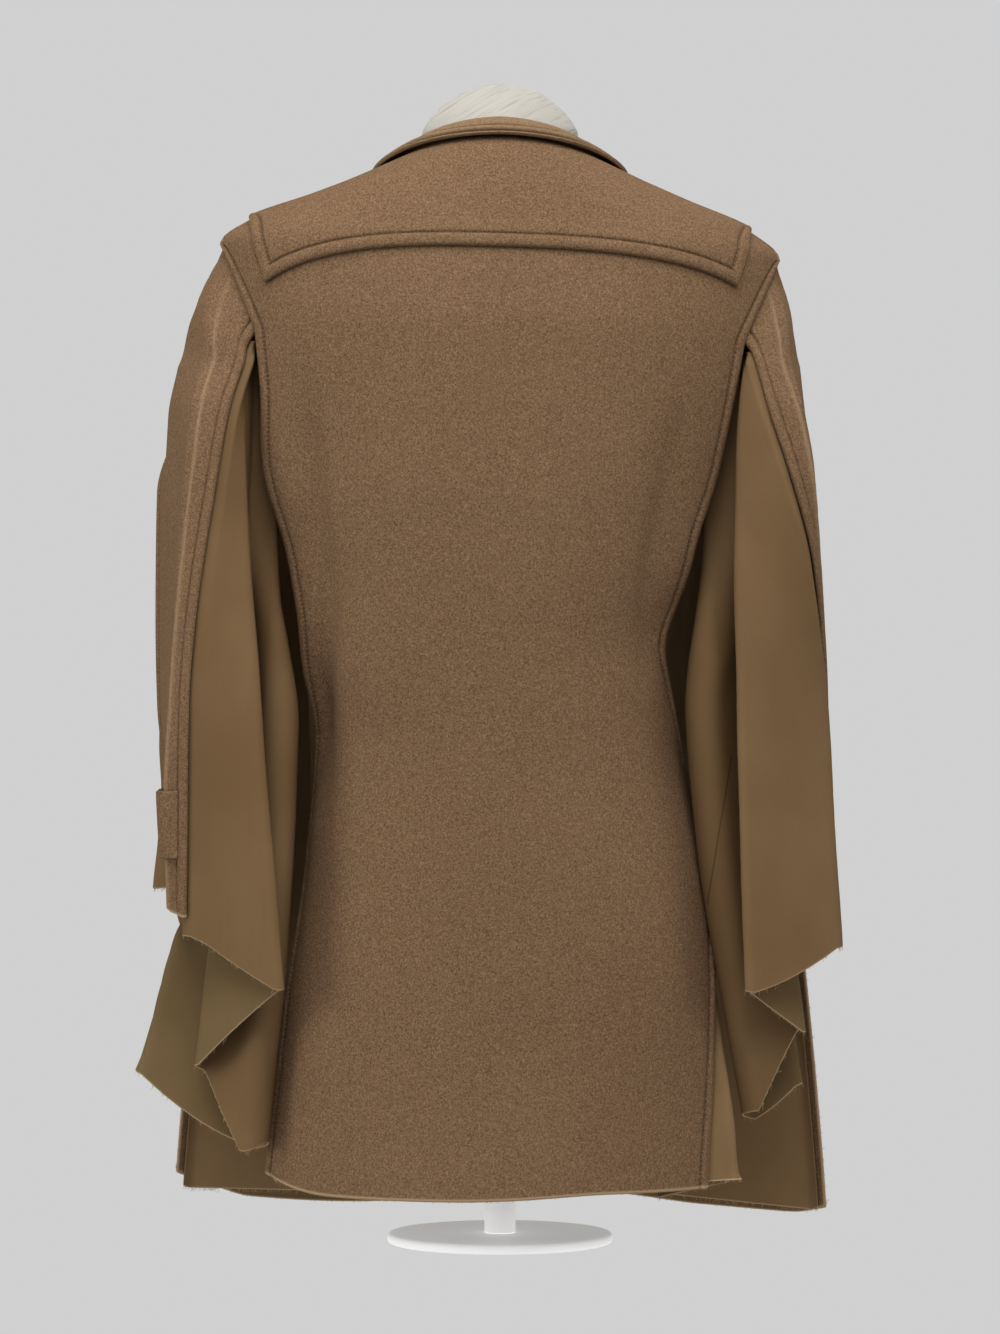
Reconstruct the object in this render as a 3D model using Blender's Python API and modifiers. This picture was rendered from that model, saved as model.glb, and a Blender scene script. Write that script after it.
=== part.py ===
"""Single-breasted wool coat with gabardine insets, resting on a limbless dress form.

Metres, +Z up. The coat's front faces -Y and its back +Y; the wearer's left is +X.
The origin is the middle of the stand's underside.
"""

import bisect
import math

import bpy
import bmesh
from mathutils import Vector

COLLECTION = "single_breasted_coat"

# Cloth walls and the gaps between pieces
WOOL = 0.0024
GABARDINE = 0.0011
SEAM_GAP = 0.0004
LAY_GAP = 0.0008
YOKE_LIFT = 0.0036
LAP_CLEAR = 0.0017
LAP = 0.009
LAP_SLANT = 0.0012
WELT_WALL = 0.0036

# How the body's sections are shaped
SQUARENESS = 2.2
NECK_LEVEL = 0.856
TIP_LEVEL = 0.7905
APEX_LEVEL = 0.723
APEX_HALF = 0.192
BACK_RISE = 0.018
BACK_RISE_FROM = 0.800
FRONT_DROP = 0.072
FRONT_DROP_FROM = 0.700
LEAN = 0.030
LEAN_FROM = 0.600
LEAN_FULL = 0.780
LEAN_AT_NECK = 0.35
RIDGE_DEGREES = 0.15

# Short steps used to find a surface's direction
PROBE = 0.010
PROBE_DOWN = 0.002

# Front closing: the right front lies over the left
OVERLAP_HALF = 0.020
OVERLAP_RUN = 0.040
BUTTON_RADIUS = 0.014
BUTTON_THICK = 0.0045
BUTTON_BEVEL = 0.0012
BUTTON_COUNT = 5
BUTTON_SINK = 0.0008
BUTTON_SINK_FROM = 0.500
BUTTON_SINK_RUN = 0.200
BUTTON_TOP = 0.735
BUTTON_STEP = 0.118

# Dress form and its stand
FORM_GAP = 0.0006
FORM_SIDES = 32
NECK_RADIUS = 0.0625
NECK_DOME_LEVEL = 0.885
NECK_TOP = 0.926
NECK_DOME_POWER = 1.4
POST_RADIUS = 0.0125
BASE_RADIUS = 0.090
BASE_THICK = 0.008
BASE_BEVEL = 0.003
STAND_GAP = 0.0003

# Rounding of folded sections
ROUND_ROOM = 0.24
ARC_STEPS = 12
ARC_REACH = 0.002
EDGE_RADIUS = 0.002
LARGEST_SWEEP = 1.6 * math.pi

# Under-sleeve, side godet and tab limits
BELL_TOP = 0.700
HEAD_ROOM = 0.008
CROWN_BOW = 0.004
GODET_TOP = 0.660
GODET_LOW = 0.050
TAB_TOP = 0.362
TAB_BOTTOM = 0.310
TAB_BOW = 0.0025
TAB_LOW_BOW = 0.4
TAB_ROWS = 4


class Table:
    """Rows of named columns, read at any first-column value by a smooth curve."""

    def __init__(self, columns, rows):
        self.names = columns.split()
        self.rows = sorted(rows)
        self.places = [row[0] for row in self.rows]

    def at(self, name, place):
        column = self.names.index(name)
        values = [row[column] for row in self.rows]
        return smooth_value(self.places, values, place)


def smooth_value(places, values, place):
    """A cubic through the values that never swings past them."""
    if place <= places[0]:
        return values[0]
    if place >= places[-1]:
        return values[-1]
    low = max(i for i in range(len(places) - 1) if places[i] <= place)
    steps = [places[i + 1] - places[i] for i in range(len(places) - 1)]
    slopes = [(values[i + 1] - values[i]) / steps[i] for i in range(len(steps))]

    def tangent(i):
        if i == 0:
            return slopes[0]
        if i == len(slopes):
            return slopes[-1]
        before, after = slopes[i - 1], slopes[i]
        if before * after <= 0.0:
            return 0.0
        return 2.0 * before * after / (before + after)

    run = steps[low]
    part = (place - places[low]) / run
    square, cube = part * part, part ** 3
    return ((2.0 * cube - 3.0 * square + 1.0) * values[low]
            + (cube - 2.0 * square + part) * run * tangent(low)
            + (3.0 * square - 2.0 * cube) * values[low + 1]
            + (cube - square) * run * tangent(low + 1))


def ease(part):
    """0 to 1 with soft ends."""
    part = min(1.0, max(0.0, part))
    return part * part * (3.0 - 2.0 * part)


def mix(first, second, part):
    return first + (second - first) * part


# Body sections: the coat's inner face. Halves are along X, depths along Y
BODY = Table("level left right back front_half front", [
    (0.000, 0.194, 0.188, 0.141, 0.310, 0.161),
    (0.050, 0.190, 0.186, 0.138, 0.306, 0.158),
    (0.200, 0.172, 0.177, 0.128, 0.290, 0.150),
    (0.300, 0.1525, 0.163, 0.120, 0.276, 0.142),
    (0.400, 0.1445, 0.142, 0.115, 0.262, 0.137),
    (0.470, 0.1635, 0.135, 0.116, 0.252, 0.135),
    (0.550, 0.1785, 0.1665, 0.119, 0.240, 0.139),
    (0.610, 0.1965, 0.185, 0.122, 0.230, 0.142),
    (APEX_LEVEL, 0.212, 0.211, 0.122, 0.214, 0.140),
    (0.760, 0.2175, 0.217, 0.117, 0.2175, 0.133),
    (TIP_LEVEL, 0.2200, 0.2200, 0.110, 0.2200, 0.123),
    (0.808, 0.1995, 0.1995, 0.103, 0.1995, 0.115),
    (0.829, 0.1465, 0.1465, 0.0935, 0.1465, 0.104),
    (0.849, 0.0970, 0.0970, 0.0750, 0.0970, 0.088),
    (NECK_LEVEL, 0.0790, 0.0790, 0.0650, 0.0790, 0.078),
])

# Side edges of the back and fronts, in degrees from the side towards the centre
SIDE_EDGE = Table("level back_left back_right front", [
    (0.000, 15.0, 32.0, 32.0),
    (0.050, 15.0, 31.0, 32.0),
    (0.120, 15.0, 26.0, 32.0),
    (0.200, 13.0, 19.0, 32.0),
    (0.247, 10.0, 14.0, 32.0),
    (0.290, 4.0, 5.0, 32.0),
    (0.350, 0.0, 0.0, 32.0),
    (0.400, 6.0, 6.0, 32.0),
    (0.440, 14.0, 13.0, 32.0),
    (0.477, 20.0, 20.0, 32.0),
    (0.504, 22.0, 21.0, 31.5),
    (0.565, 22.0, 26.5, 30.0),
    (0.614, 21.5, 24.5, 29.0),
    (0.680, 26.0, 25.4, 27.5),
    (APEX_LEVEL, 26.4, 26.0, 26.5),
])

# Hem heights across each panel, from one edge (0) to the other (1)
BACK_HEM = Table("across level", [
    (0.00, 0.060), (0.25, 0.048), (0.50, 0.047), (0.75, 0.052), (1.00, 0.052)])
FRONT_LEFT_HEM = Table("across level", [
    (0.00, 0.048), (0.15, 0.036), (0.30, 0.024), (0.65, 0.017), (1.00, 0.024)])
FRONT_RIGHT_HEM = Table("across level", [
    (0.00, 0.019), (0.15, 0.013), (0.45, 0.016), (0.75, 0.025), (1.00, 0.026)])

PANEL_LEVELS = [0.10, 0.16, 0.22, 0.29, 0.35, 0.40, 0.44, 0.477, 0.51, 0.55, 0.60, 0.66,
                APEX_LEVEL, 0.745, 0.765, 0.780, TIP_LEVEL, 0.799, 0.808, 0.820, 0.834,
                0.846, NECK_LEVEL]
BACK_ACROSS = [0.0, 0.03, 0.08, 0.16, 0.25, 0.34, 0.42, 0.50, 0.58, 0.66, 0.75, 0.84, 0.92,
               0.97, 1.0]
EDGE_ACROSS = (0.0, 0.03, 0.97, 1.0)
FRONT_ACROSS = [0.0, 0.05, 0.14, 0.27, 0.42, 0.58, 0.74, 0.88, 1.0]

# Yoke rows: the level at its sides and at its middle, and the half-width of its side edge
YOKE_SIDE_HALF = Table("level half", [(0.757, 0.1815), (0.808, 0.1970)])
YOKE_ROWS = Table("row side middle", [
    (0, 0.7570, 0.7865), (1, 0.7670, 0.7950), (2, 0.7700, 0.7975), (3, 0.7800, 0.8020),
    (4, 0.7880, 0.8060), (5, 0.7940, 0.8090), (6, 0.8000, 0.8120), (7, 0.8050, 0.8150),
    (8, 0.8080, 0.8180), (9, 0.8120, 0.8220), (10, 0.8220, 0.8280), (11, 0.8340, 0.8370),
    (12, 0.8460, 0.8470), (13, 0.8550, 0.8550)])
YOKE_WELT_ROWS = 2
YOKE_SIDE_ROWS = 9
YOKE_CURVE = 2.5
YOKE_RIGHT_RISE = 0.0075

# Collar: bearing from the side (0) to centre back (90) or centre front (-90)
COLLAR = Table("bearing fold_rise knee_out leaf_level leaf_lift", [
    (-90.0, 0.012, 0.014, 0.778, 0.0090),
    (-75.0, 0.012, 0.014, 0.795, 0.0085),
    (-55.0, 0.011, 0.013, 0.818, 0.0075),
    (-30.0, 0.010, 0.010, 0.837, 0.0075),
    (0.0, 0.0072, 0.006, 0.8490, 0.0074),
    (30.0, 0.0092, 0.008, 0.8505, 0.0090),
    (60.0, 0.0140, 0.010, 0.8515, 0.0100),
    (90.0, 0.0166, 0.010, 0.8525, 0.0105),
])
COLLAR_END = 88.5
COLLAR_STEPS = 32
STAND_INSET = 0.0012
STAND_DROP = 0.001
FOLD_OUT = 0.002
KNEE_RISE = 0.001
STAND_ROUND = 0.002
LEAF_PARTS = (0.25, 0.5, 0.75, 1.0)

# Wool sleeves: the line of the section at each height, from the back edge by the crease and
# the outermost place to the front edge (x is measured outwards from the middle)
SLEEVE_COLUMNS = "level back_x back_y crease_x crease_y outer_x outer_y front_x front_y"
SLEEVE = {
    "left": Table(SLEEVE_COLUMNS, [
        (0.264, 0.2455, 0.080, 0.2590, 0.064, 0.2625, 0.010, 0.2620, -0.050),
        (0.360, 0.2445, 0.082, 0.2625, 0.066, 0.2650, 0.005, 0.2660, -0.050),
        (0.430, 0.2435, 0.084, 0.2590, 0.069, 0.2660, 0.000, 0.2740, -0.048),
        (0.500, 0.2380, 0.083, 0.2540, 0.069, 0.2640, 0.000, 0.2755, -0.045),
        (0.600, 0.2230, 0.078, 0.2465, 0.066, 0.2655, 0.000, 0.2740, -0.045),
        (0.660, 0.2130, 0.072, 0.2420, 0.060, 0.2635, -0.006, 0.2500, -0.060),
        (0.700, 0.2010, 0.064, 0.2320, 0.047, 0.2550, 0.000, 0.2080, -0.068),
    ]),
    "right": Table(SLEEVE_COLUMNS, [
        (0.264, 0.2620, 0.000, 0.2605, -0.020, 0.2525, -0.038, 0.2260, -0.052),
        (0.360, 0.2600, 0.006, 0.2595, -0.014, 0.2525, -0.036, 0.2300, -0.052),
        (0.450, 0.2565, 0.026, 0.2580, 0.000, 0.2535, -0.030, 0.2360, -0.053),
        (0.540, 0.2465, 0.060, 0.2510, 0.044, 0.2505, -0.020, 0.2400, -0.056),
        (0.615, 0.2265, 0.075, 0.2440, 0.061, 0.2485, -0.010, 0.2380, -0.060),
        (0.660, 0.2120, 0.072, 0.2375, 0.058, 0.2420, 0.000, 0.2290, -0.062),
        (0.700, 0.2010, 0.064, 0.2275, 0.047, 0.2375, 0.000, 0.2080, -0.068),
    ]),
}
SLEEVE_RADII = [0.0, 0.0035, 0.030, 0.0]
CUFF_RISE = {"left": 0.020, "right": 0.0}
SLEEVE_LEVELS = [0.700, 0.660, 0.600, 0.550, 0.500, 0.430, 0.360, 0.310, 0.264]
CAP_PARTS = [0.0, 0.25, 0.5, 0.75]
CAP_BOW = {"left": 0.0085, "right": 0.004}
CAP_FADE = 0.12
CAP_EDGE_BOW = 0.3
HEAD_GAP_TIP = 0.0014
HEAD_GAP_APEX = 0.0024
HEAD_SINK = 0.0012
ARMHOLE_SLOPE = (0.030, 0.060, 0.067)
ARMHOLE_LEVELS = [level for level in PANEL_LEVELS if APEX_LEVEL <= level <= TIP_LEVEL]

# Under-sleeves: each fold's line from the underarm to the hem. A bow over 1 keeps the line in
# until low down, "draw_x" moves it most a quarter of the way down and a pull at half height,
# "swell" pushes it out just below the cuff, and "sag" is how far the hem hangs below a straight
# line to the next fold. "turn" is measured from the wool's back edge and "hook" from its front
FOLD_COLUMNS = ("fold top_x top_y hem_x hem_y hem_z bow_x bow_y draw_x pull_x pull_y radius swell"
                " sag").split()
FOLDS = {
    "left": [
        ("turn", -0.006, 0.0, -0.012, 0.005, 0.244, 1.0, 1.0, 0.0, 0.0, 0.0, 0.004, 0.0, 0.001),
        ("one", 0.1985, 0.058, 0.1685, 0.112, 0.209, 1.3, 1.0, 0.005, 0.0, 0.0, 0.0045, 0.0, -0.003),
        ("two", 0.195, 0.040, 0.240, 0.064, 0.146, 1.6, 1.6, 0.0, 0.0, -0.034, 0.0055, 0.0, 0.009),
        ("three", 0.176, 0.018, 0.183, 0.072, 0.088, 1.0, 1.0, 0.0, -0.014, 0.016, 0.015, 0.0, 0.013),
        ("four", 0.180, -0.020, 0.290, 0.016, 0.139, 2.0, 2.0, 0.0, 0.0, 0.0, 0.007, 0.0075, 0.004),
        ("inner", 0.185, -0.036, 0.240, -0.028, 0.190, 1.2, 1.2, 0.0, 0.0, 0.0, 0.006, 0.0, 0.0),
        ("hook", -0.013, 0.018, 0.018, -0.028, 0.280, 1.8, 0.35, 0.0, 0.0, 0.0, 0.007, 0.0, 0.0),
    ],
    "right": [
        ("turn", -0.006, 0.0, 0.008, 0.065, 0.240, 1.2, 1.2, 0.0, 0.0, 0.0, 0.010, 0.0, 0.005),
        ("one", 0.196, 0.061, 0.1915, 0.110, 0.208, 1.0, 1.0, -0.0095, 0.0, 0.0, 0.0045, 0.0, 0.0),
        ("two", 0.190, 0.040, 0.240, 0.066, 0.173, 1.4, 1.4, 0.0, 0.0, -0.042, 0.0055, 0.0, -0.004),
        ("three", 0.172, 0.026, 0.1915, 0.050, 0.107, 2.0, 2.0, -0.012, -0.014, 0.026, 0.015, 0.0, 0.006),
        ("four", 0.180, -0.020, 0.240, 0.028, 0.130, 1.6, 1.6, 0.0, 0.0, 0.0, 0.007, 0.0, 0.004),
        ("inner", 0.183, -0.035, 0.218, -0.008, 0.190, 1.2, 1.2, 0.0, 0.0, 0.0, 0.006, 0.0, 0.0),
        ("hook", -0.016, 0.018, -0.013, 0.007, 0.220, 1.2, 1.2, 0.0, 0.0, 0.0, 0.007, 0.0, 0.0),
    ],
}
PULL_FROM = 0.22
PULL_FULL = 0.47
SWELL_FROM = 0.74
SWELL_FULL = 0.81
BELL_EDGE_HEM = {"left": (0.249, 0.282), "right": (0.246, 0.250)}
CROWN_PARTS = {"turn": 0.06, "one": 0.12, "two": 0.26, "three": 0.44, "four": 0.66, "inner": 0.80,
               "hook": 0.92}
BELL_PARTS = [0.0, 0.10, 0.22, 0.35, 0.48, 0.60, 0.72, 0.83, 0.92, 1.0]

# Side godets: an outer fold near the back's edge and an inner one deep in the side
GODET_COLUMNS = "level outer_x outer_y inner_x inner_y"
GODET = {
    "left": Table(GODET_COLUMNS, [
        (0.050, 0.178, 0.020, 0.130, -0.080),
        (0.120, 0.171, 0.018, 0.140, -0.085),
        (0.250, 0.162, 0.004, 0.152, -0.090),
        (0.350, 0.152, -0.014, 0.154, -0.080),
        (0.470, 0.153, 0.026, 0.154, -0.060),
        (0.550, 0.163, 0.030, 0.158, -0.050),
        (0.660, 0.170, 0.030, 0.162, -0.035),
    ]),
    "right": Table(GODET_COLUMNS, [
        (0.050, 0.189, 0.074, 0.130, -0.070),
        (0.120, 0.181, 0.063, 0.138, -0.080),
        (0.200, 0.171, 0.038, 0.145, -0.090),
        (0.250, 0.167, 0.020, 0.150, -0.090),
        (0.350, 0.153, -0.014, 0.152, -0.080),
        (0.470, 0.130, 0.008, 0.148, -0.060),
        (0.550, 0.143, 0.012, 0.156, -0.050),
        (0.660, 0.158, 0.018, 0.162, -0.035),
    ]),
}
GODET_RADII = [0.0, 0.003, 0.005, 0.015, 0.004, 0.0]
GODET_HEM = {"left": [0.064, 0.062, 0.050, 0.032, 0.034, 0.036],
             "right": [0.056, 0.056, 0.058, 0.030, 0.016, 0.018]}
GODET_LEVELS = [level for level in reversed(PANEL_LEVELS) if level <= GODET_TOP]

# Dress form below its shoulders, and where its shoulder ridge is seated under the coat
FORM = Table("level half back front", [
    (0.200, 0.132, 0.096, 0.094),
    (0.290, 0.139, 0.104, 0.099),
    (0.380, 0.121, 0.094, 0.092),
    (0.470, 0.108, 0.086, 0.089),
    (0.560, 0.122, 0.092, 0.100),
    (0.640, 0.137, 0.098, 0.112),
    (0.700, 0.150, 0.099, 0.108),
    (0.740, 0.163, 0.096, 0.097),
    (0.765, 0.169, 0.091, 0.078),
    (0.785, 0.172, 0.086, 0.062),
])
FORM_LEVELS = [0.200, 0.235, 0.290, 0.340, 0.380, 0.425, 0.470, 0.520, 0.580, 0.640, 0.700,
               0.740, 0.765, 0.785]
FORM_SEAT = Table("half back front", [
    (0.122, 0.066, 0.042), (0.138, 0.070, 0.045), (0.155, 0.074, 0.048), (0.168, 0.079, 0.053)])
NECK_ROWS = Table("level half back front", [
    (0.8395, 0.0960, 0.060, 0.0430), (0.8430, 0.0790, 0.058, 0.0440),
    (0.8490, 0.0680, 0.057, 0.0480), (0.8590, 0.0625, 0.056, 0.0530),
    (0.8720, 0.0618, 0.0575, 0.0590)])
NECK_BACK = 0.95
DOME_STEPS = 4
DOME_SHARE = 0.93

# Finishes: base colour, roughness, metallic
FINISHES = {
    "wool": ((0.190, 0.117, 0.062), 0.95, 0.0),
    "gabardine": ((0.158, 0.100, 0.046), 0.75, 0.0),
    "button_horn": ((0.060, 0.034, 0.018), 0.45, 0.0),
    "form_cloth": ((0.690, 0.655, 0.560), 0.9, 0.0),
    "stand_paint": ((0.660, 0.660, 0.650), 0.5, 0.0),
}


def clear_scene():
    for thing in list(bpy.data.objects):
        bpy.data.objects.remove(thing, do_unlink=True)


def finish(name):
    """The named material, made once."""
    if name in bpy.data.materials:
        return bpy.data.materials[name]
    colour, roughness, metallic = FINISHES[name]
    material = bpy.data.materials.new(name)
    material.use_nodes = True
    shader = material.node_tree.nodes["Principled BSDF"]
    shader.inputs["Base Color"].default_value = (*colour, 1.0)
    shader.inputs["Roughness"].default_value = roughness
    shader.inputs["Metallic"].default_value = metallic
    return material


def add_object(name, mesh, material, collection):
    thing = bpy.data.objects.new(name, mesh)
    thing.data.materials.append(finish(material))
    collection.objects.link(thing)
    return thing


def cloth(name, rows, wall, side, material, collection, share=None):
    """An open sheet through rows of points, given a wall. "side" 1 grows it along the normals,
    -1 against them and 0 to both. "share" is each point's part of the wall."""
    mesh = bpy.data.meshes.new(name)
    sheet = bmesh.new()
    grid = [[sheet.verts.new(point) for point in row] for row in rows]
    for low, high in zip(grid, grid[1:]):
        for i in range(len(low) - 1):
            sheet.faces.new((low[i], low[i + 1], high[i + 1], high[i]))
    sheet.to_mesh(mesh)
    sheet.free()
    thing = add_object(name, mesh, material, collection)
    solid = thing.modifiers.new("wall", "SOLIDIFY")
    solid.thickness = wall
    solid.offset = side
    solid.use_even_offset = True
    solid.use_quality_normals = True
    if share is not None:
        group = thing.vertex_groups.new(name="wall_share")
        flat = [value for row in share for value in row]
        for index, value in enumerate(flat):
            group.add([index], value, "REPLACE")
        solid.vertex_group = group.name
        solid.thickness_vertex_group = 0.0
    return thing


# The body's surface

def power(value, exponent):
    return math.copysign(abs(value) ** exponent, value)


def lean(level):
    """How much the coat rises towards the wearer's left at a level."""
    full = LEAN * ease((level - LEAN_FROM) / (LEAN_FULL - LEAN_FROM))
    part = max(0.0, (level - TIP_LEVEL) / (NECK_LEVEL - TIP_LEVEL))
    return full * mix(1.0, LEAN_AT_NECK, part)


def body(bearing, level):
    """A point of the coat's inner face. Bearing 0 is the left side, 90 the centre back."""
    turn = math.radians(bearing)
    along, across = math.cos(turn), math.sin(turn)
    exponent = 2.0 / SQUARENESS
    if across >= 0.0:
        half = BODY.at("left" if along >= 0.0 else "right", level)
        depth = BODY.at("back", level)
        rise = BACK_RISE * ease((level - BACK_RISE_FROM) / (NECK_LEVEL - BACK_RISE_FROM))
    else:
        half = BODY.at("front_half", level)
        depth = BODY.at("front", level)
        rise = -FRONT_DROP * ease((level - FRONT_DROP_FROM) / (NECK_LEVEL - FRONT_DROP_FROM))
    x = half * power(along, exponent)
    y = depth * power(across, exponent)
    return Vector((x, y, level + rise * across * across + lean(level) * x))


def body_out(bearing, level, distance):
    """A point moved out from the coat's inner face."""
    turn = math.radians(bearing)
    step = 1.0 if math.sin(turn) * math.cos(turn) >= 0.0 else -1.0
    here = body(bearing, level)
    around = (body(bearing + step, level) - here) * step
    down = body(bearing, level - PROBE_DOWN) - here
    return here + down.cross(around).normalized() * distance


def bearing_at_half(half, x):
    """Degrees from the side at which a section of this half-width is x wide."""
    return math.degrees(math.acos(min(1.0, x / half) ** (SQUARENESS / 2.0)))


def armhole_bearing(column, level):
    """Degrees from the side along the armhole, from its lowest point up to the shoulder tip."""
    tip = BODY.at(column, TIP_LEVEL)
    part = (level - APEX_LEVEL) / (TIP_LEVEL - APEX_LEVEL)
    x = mix(APEX_HALF, tip, part)
    return max(RIDGE_DEGREES, bearing_at_half(BODY.at(column, level), x))


def side_bearing(column, edge, level):
    """Degrees from the side at which a panel ends: its side edge, armhole or shoulder seam."""
    if level >= TIP_LEVEL:
        return RIDGE_DEGREES
    if level >= APEX_LEVEL:
        return armhole_bearing(column, level)
    return SIDE_EDGE.at(edge, level)


def back_bearing(across, level):
    """Bearing on the back panel, from its left edge (0) to its right edge (1)."""
    start = side_bearing("left", "back_left", level)
    end = 180.0 - side_bearing("right", "back_right", level)
    return mix(start, end, across)


def front_bearing(side, across, level):
    """Bearing on a front, from its side edge (0) to its edge past the centre front (1)."""
    past = 90.0 - bearing_at_half(BODY.at("front_half", level), OVERLAP_HALF)
    turn = mix(side_bearing("front_half", "front", level), 90.0 + past, across)
    return -turn if side == "left" else 180.0 + turn


def front_lift(side, bearing, level):
    """How far the right front is moved out to lie over the left one."""
    if side == "left":
        return 0.0
    x = body(bearing, level).x
    return (WOOL + LAY_GAP) * ease((x + OVERLAP_HALF + OVERLAP_RUN) / OVERLAP_RUN)


# Body pieces

def make_back(collection):
    rows = []
    share = []
    for index in range(len(PANEL_LEVELS) + 1):
        row = []
        shares = []
        for across in BACK_ACROSS:
            level = BACK_HEM.at("level", across) if index == 0 else PANEL_LEVELS[index - 1]
            row.append(body(back_bearing(across, level), level))
            at_armhole = APEX_LEVEL <= level <= TIP_LEVEL and across in EDGE_ACROSS
            shares.append(1.0 if at_armhole else WOOL / WELT_WALL)
        rows.append(row)
        share.append(shares)
    return cloth("back", rows, WELT_WALL, 1.0, "wool", collection, share)


def make_front(side, collection):
    hem = FRONT_LEFT_HEM if side == "left" else FRONT_RIGHT_HEM
    rows = []
    for index in range(len(PANEL_LEVELS) + 1):
        row = []
        for across in FRONT_ACROSS:
            level = hem.at("level", across) if index == 0 else PANEL_LEVELS[index - 1]
            bearing = front_bearing(side, across, level)
            row.append(body_out(bearing, level, front_lift(side, bearing, level)))
        rows.append(row)
    grows = -1.0 if side == "left" else 1.0
    return cloth("front_" + side, rows, WOOL, grows, "wool", collection)


def make_yoke(collection):
    rows = []
    share = []
    for index in range(len(YOKE_ROWS.rows)):
        side_level = YOKE_ROWS.at("side", index)
        middle_level = YOKE_ROWS.at("middle", index)
        row = []
        shares = []
        for across in BACK_ACROSS:
            spread = abs(2.0 * across - 1.0) ** YOKE_CURVE
            end_level = side_level
            if across > 0.5:
                end_level += YOKE_RIGHT_RISE * max(0.0, 1.0 - index / YOKE_SIDE_ROWS)
            level = mix(middle_level, end_level, spread)
            edge = RIDGE_DEGREES
            if index < YOKE_SIDE_ROWS:
                half = BODY.at("left", end_level)
                edge = bearing_at_half(half, YOKE_SIDE_HALF.at("half", end_level))
            bearing = mix(edge, 180.0 - edge, across)
            row.append(body_out(bearing, level, YOKE_LIFT))
            at_side = index < YOKE_SIDE_ROWS and across in EDGE_ACROSS
            in_welt = index < YOKE_WELT_ROWS or at_side
            shares.append(1.0 if in_welt else WOOL / WELT_WALL)
        rows.append(row)
        share.append(shares)
    return cloth("back_yoke", rows, WELT_WALL, 1.0, "wool", collection, share)


def collar_section(bearing):
    """The collar's inner line at a bearing: up the stand, over the fold and down the leaf."""
    from_side = bearing if bearing <= 90.0 else 180.0 - bearing
    rise = COLLAR.at("fold_rise", from_side)
    neck = body(bearing, NECK_LEVEL)
    ahead = body(bearing + 1.0, NECK_LEVEL) - body(bearing - 1.0, NECK_LEVEL)
    out = Vector((ahead.y, -ahead.x, 0.0)).normalized()
    up = Vector((0.0, 0.0, 1.0))
    edge = body_out(bearing, COLLAR.at("leaf_level", from_side), COLLAR.at("leaf_lift", from_side))
    fold = neck + out * FOLD_OUT + up * rise
    knee = neck + out * COLLAR.at("knee_out", from_side) + up * (rise + KNEE_RISE)
    stand = neck - out * STAND_INSET
    points = [stand - up * STAND_DROP,
              stand + up * rise * 0.5,
              stand + out * STAND_INSET * 0.4 + up * (rise - STAND_ROUND),
              fold]
    for part in LEAF_PARTS:
        points.append(fold * (1.0 - part) ** 2 + knee * 2.0 * part * (1.0 - part) + edge * part ** 2)
    return points


def make_collar(collection):
    rows = []
    for step in range(COLLAR_STEPS + 1):
        bearing = mix(-COLLAR_END, 180.0 + COLLAR_END, step / COLLAR_STEPS)
        rows.append(collar_section(bearing))
    return cloth("collar", rows, WOOL, 1.0, "wool", collection)


# Folded sections

def belt_path(stations, radii):
    """A fine line through (x, y, z) stations, round each one on an arc of its radius. Returns
    its points and, for each station, the number of the point at the middle of its arc."""
    places = [Vector(station[:2]) for station in stations]
    last = len(places) - 1
    centres = [place.copy() for place in places]
    pulls = [0.0] * len(places)
    for i in range(1, last):
        back = places[i - 1] - places[i]
        ahead = places[i + 1] - places[i]
        radius = min(radii[i], ROUND_ROOM * min(back.length, ahead.length))
        inward = back.normalized() + ahead.normalized()
        if inward.length > 1e-6:
            centres[i] = places[i] + inward.normalized() * radius
            pulls[i] = -radius if back.cross(ahead) > 0.0 else radius
    leave = list(centres)
    arrive = list(centres)
    for i in range(last):
        span = centres[i + 1] - centres[i]
        tilt = math.asin(max(-1.0, min(1.0, (pulls[i + 1] - pulls[i]) / span.length)))
        heading = math.atan2(span.y, span.x) - tilt
        normal = Vector((-math.sin(heading), math.cos(heading)))
        leave[i] = centres[i] - normal * pulls[i]
        arrive[i + 1] = centres[i + 1] - normal * pulls[i + 1]
    points = []
    middles = []
    for i, station in enumerate(stations):
        middles.append(len(points) + ARC_STEPS // 2)
        for step in range(ARC_STEPS + 1):
            spot = arc_point(centres[i], arrive[i], leave[i], pulls[i], step / ARC_STEPS)
            points.append(Vector((*spot, station[2])))
    middles[0] = 0
    middles[-1] = len(points) - 1
    return points, middles


def arc_point(centre, start, end, pull, part):
    """A point on the arc from start to end, anticlockwise where pull is over 0."""
    first, second = start - centre, end - centre
    if abs(pull) < 1e-7:
        return start.lerp(end, part)
    turn = math.copysign(1.0, pull)
    sweep = (math.atan2(second.y, second.x) - math.atan2(first.y, first.x)) * turn
    sweep %= 2.0 * math.pi
    if sweep > LARGEST_SWEEP:
        sweep -= 2.0 * math.pi
    angle = sweep * turn * part
    return centre + Vector((first.x * math.cos(angle) - first.y * math.sin(angle),
                            first.x * math.sin(angle) + first.y * math.cos(angle)))


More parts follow.
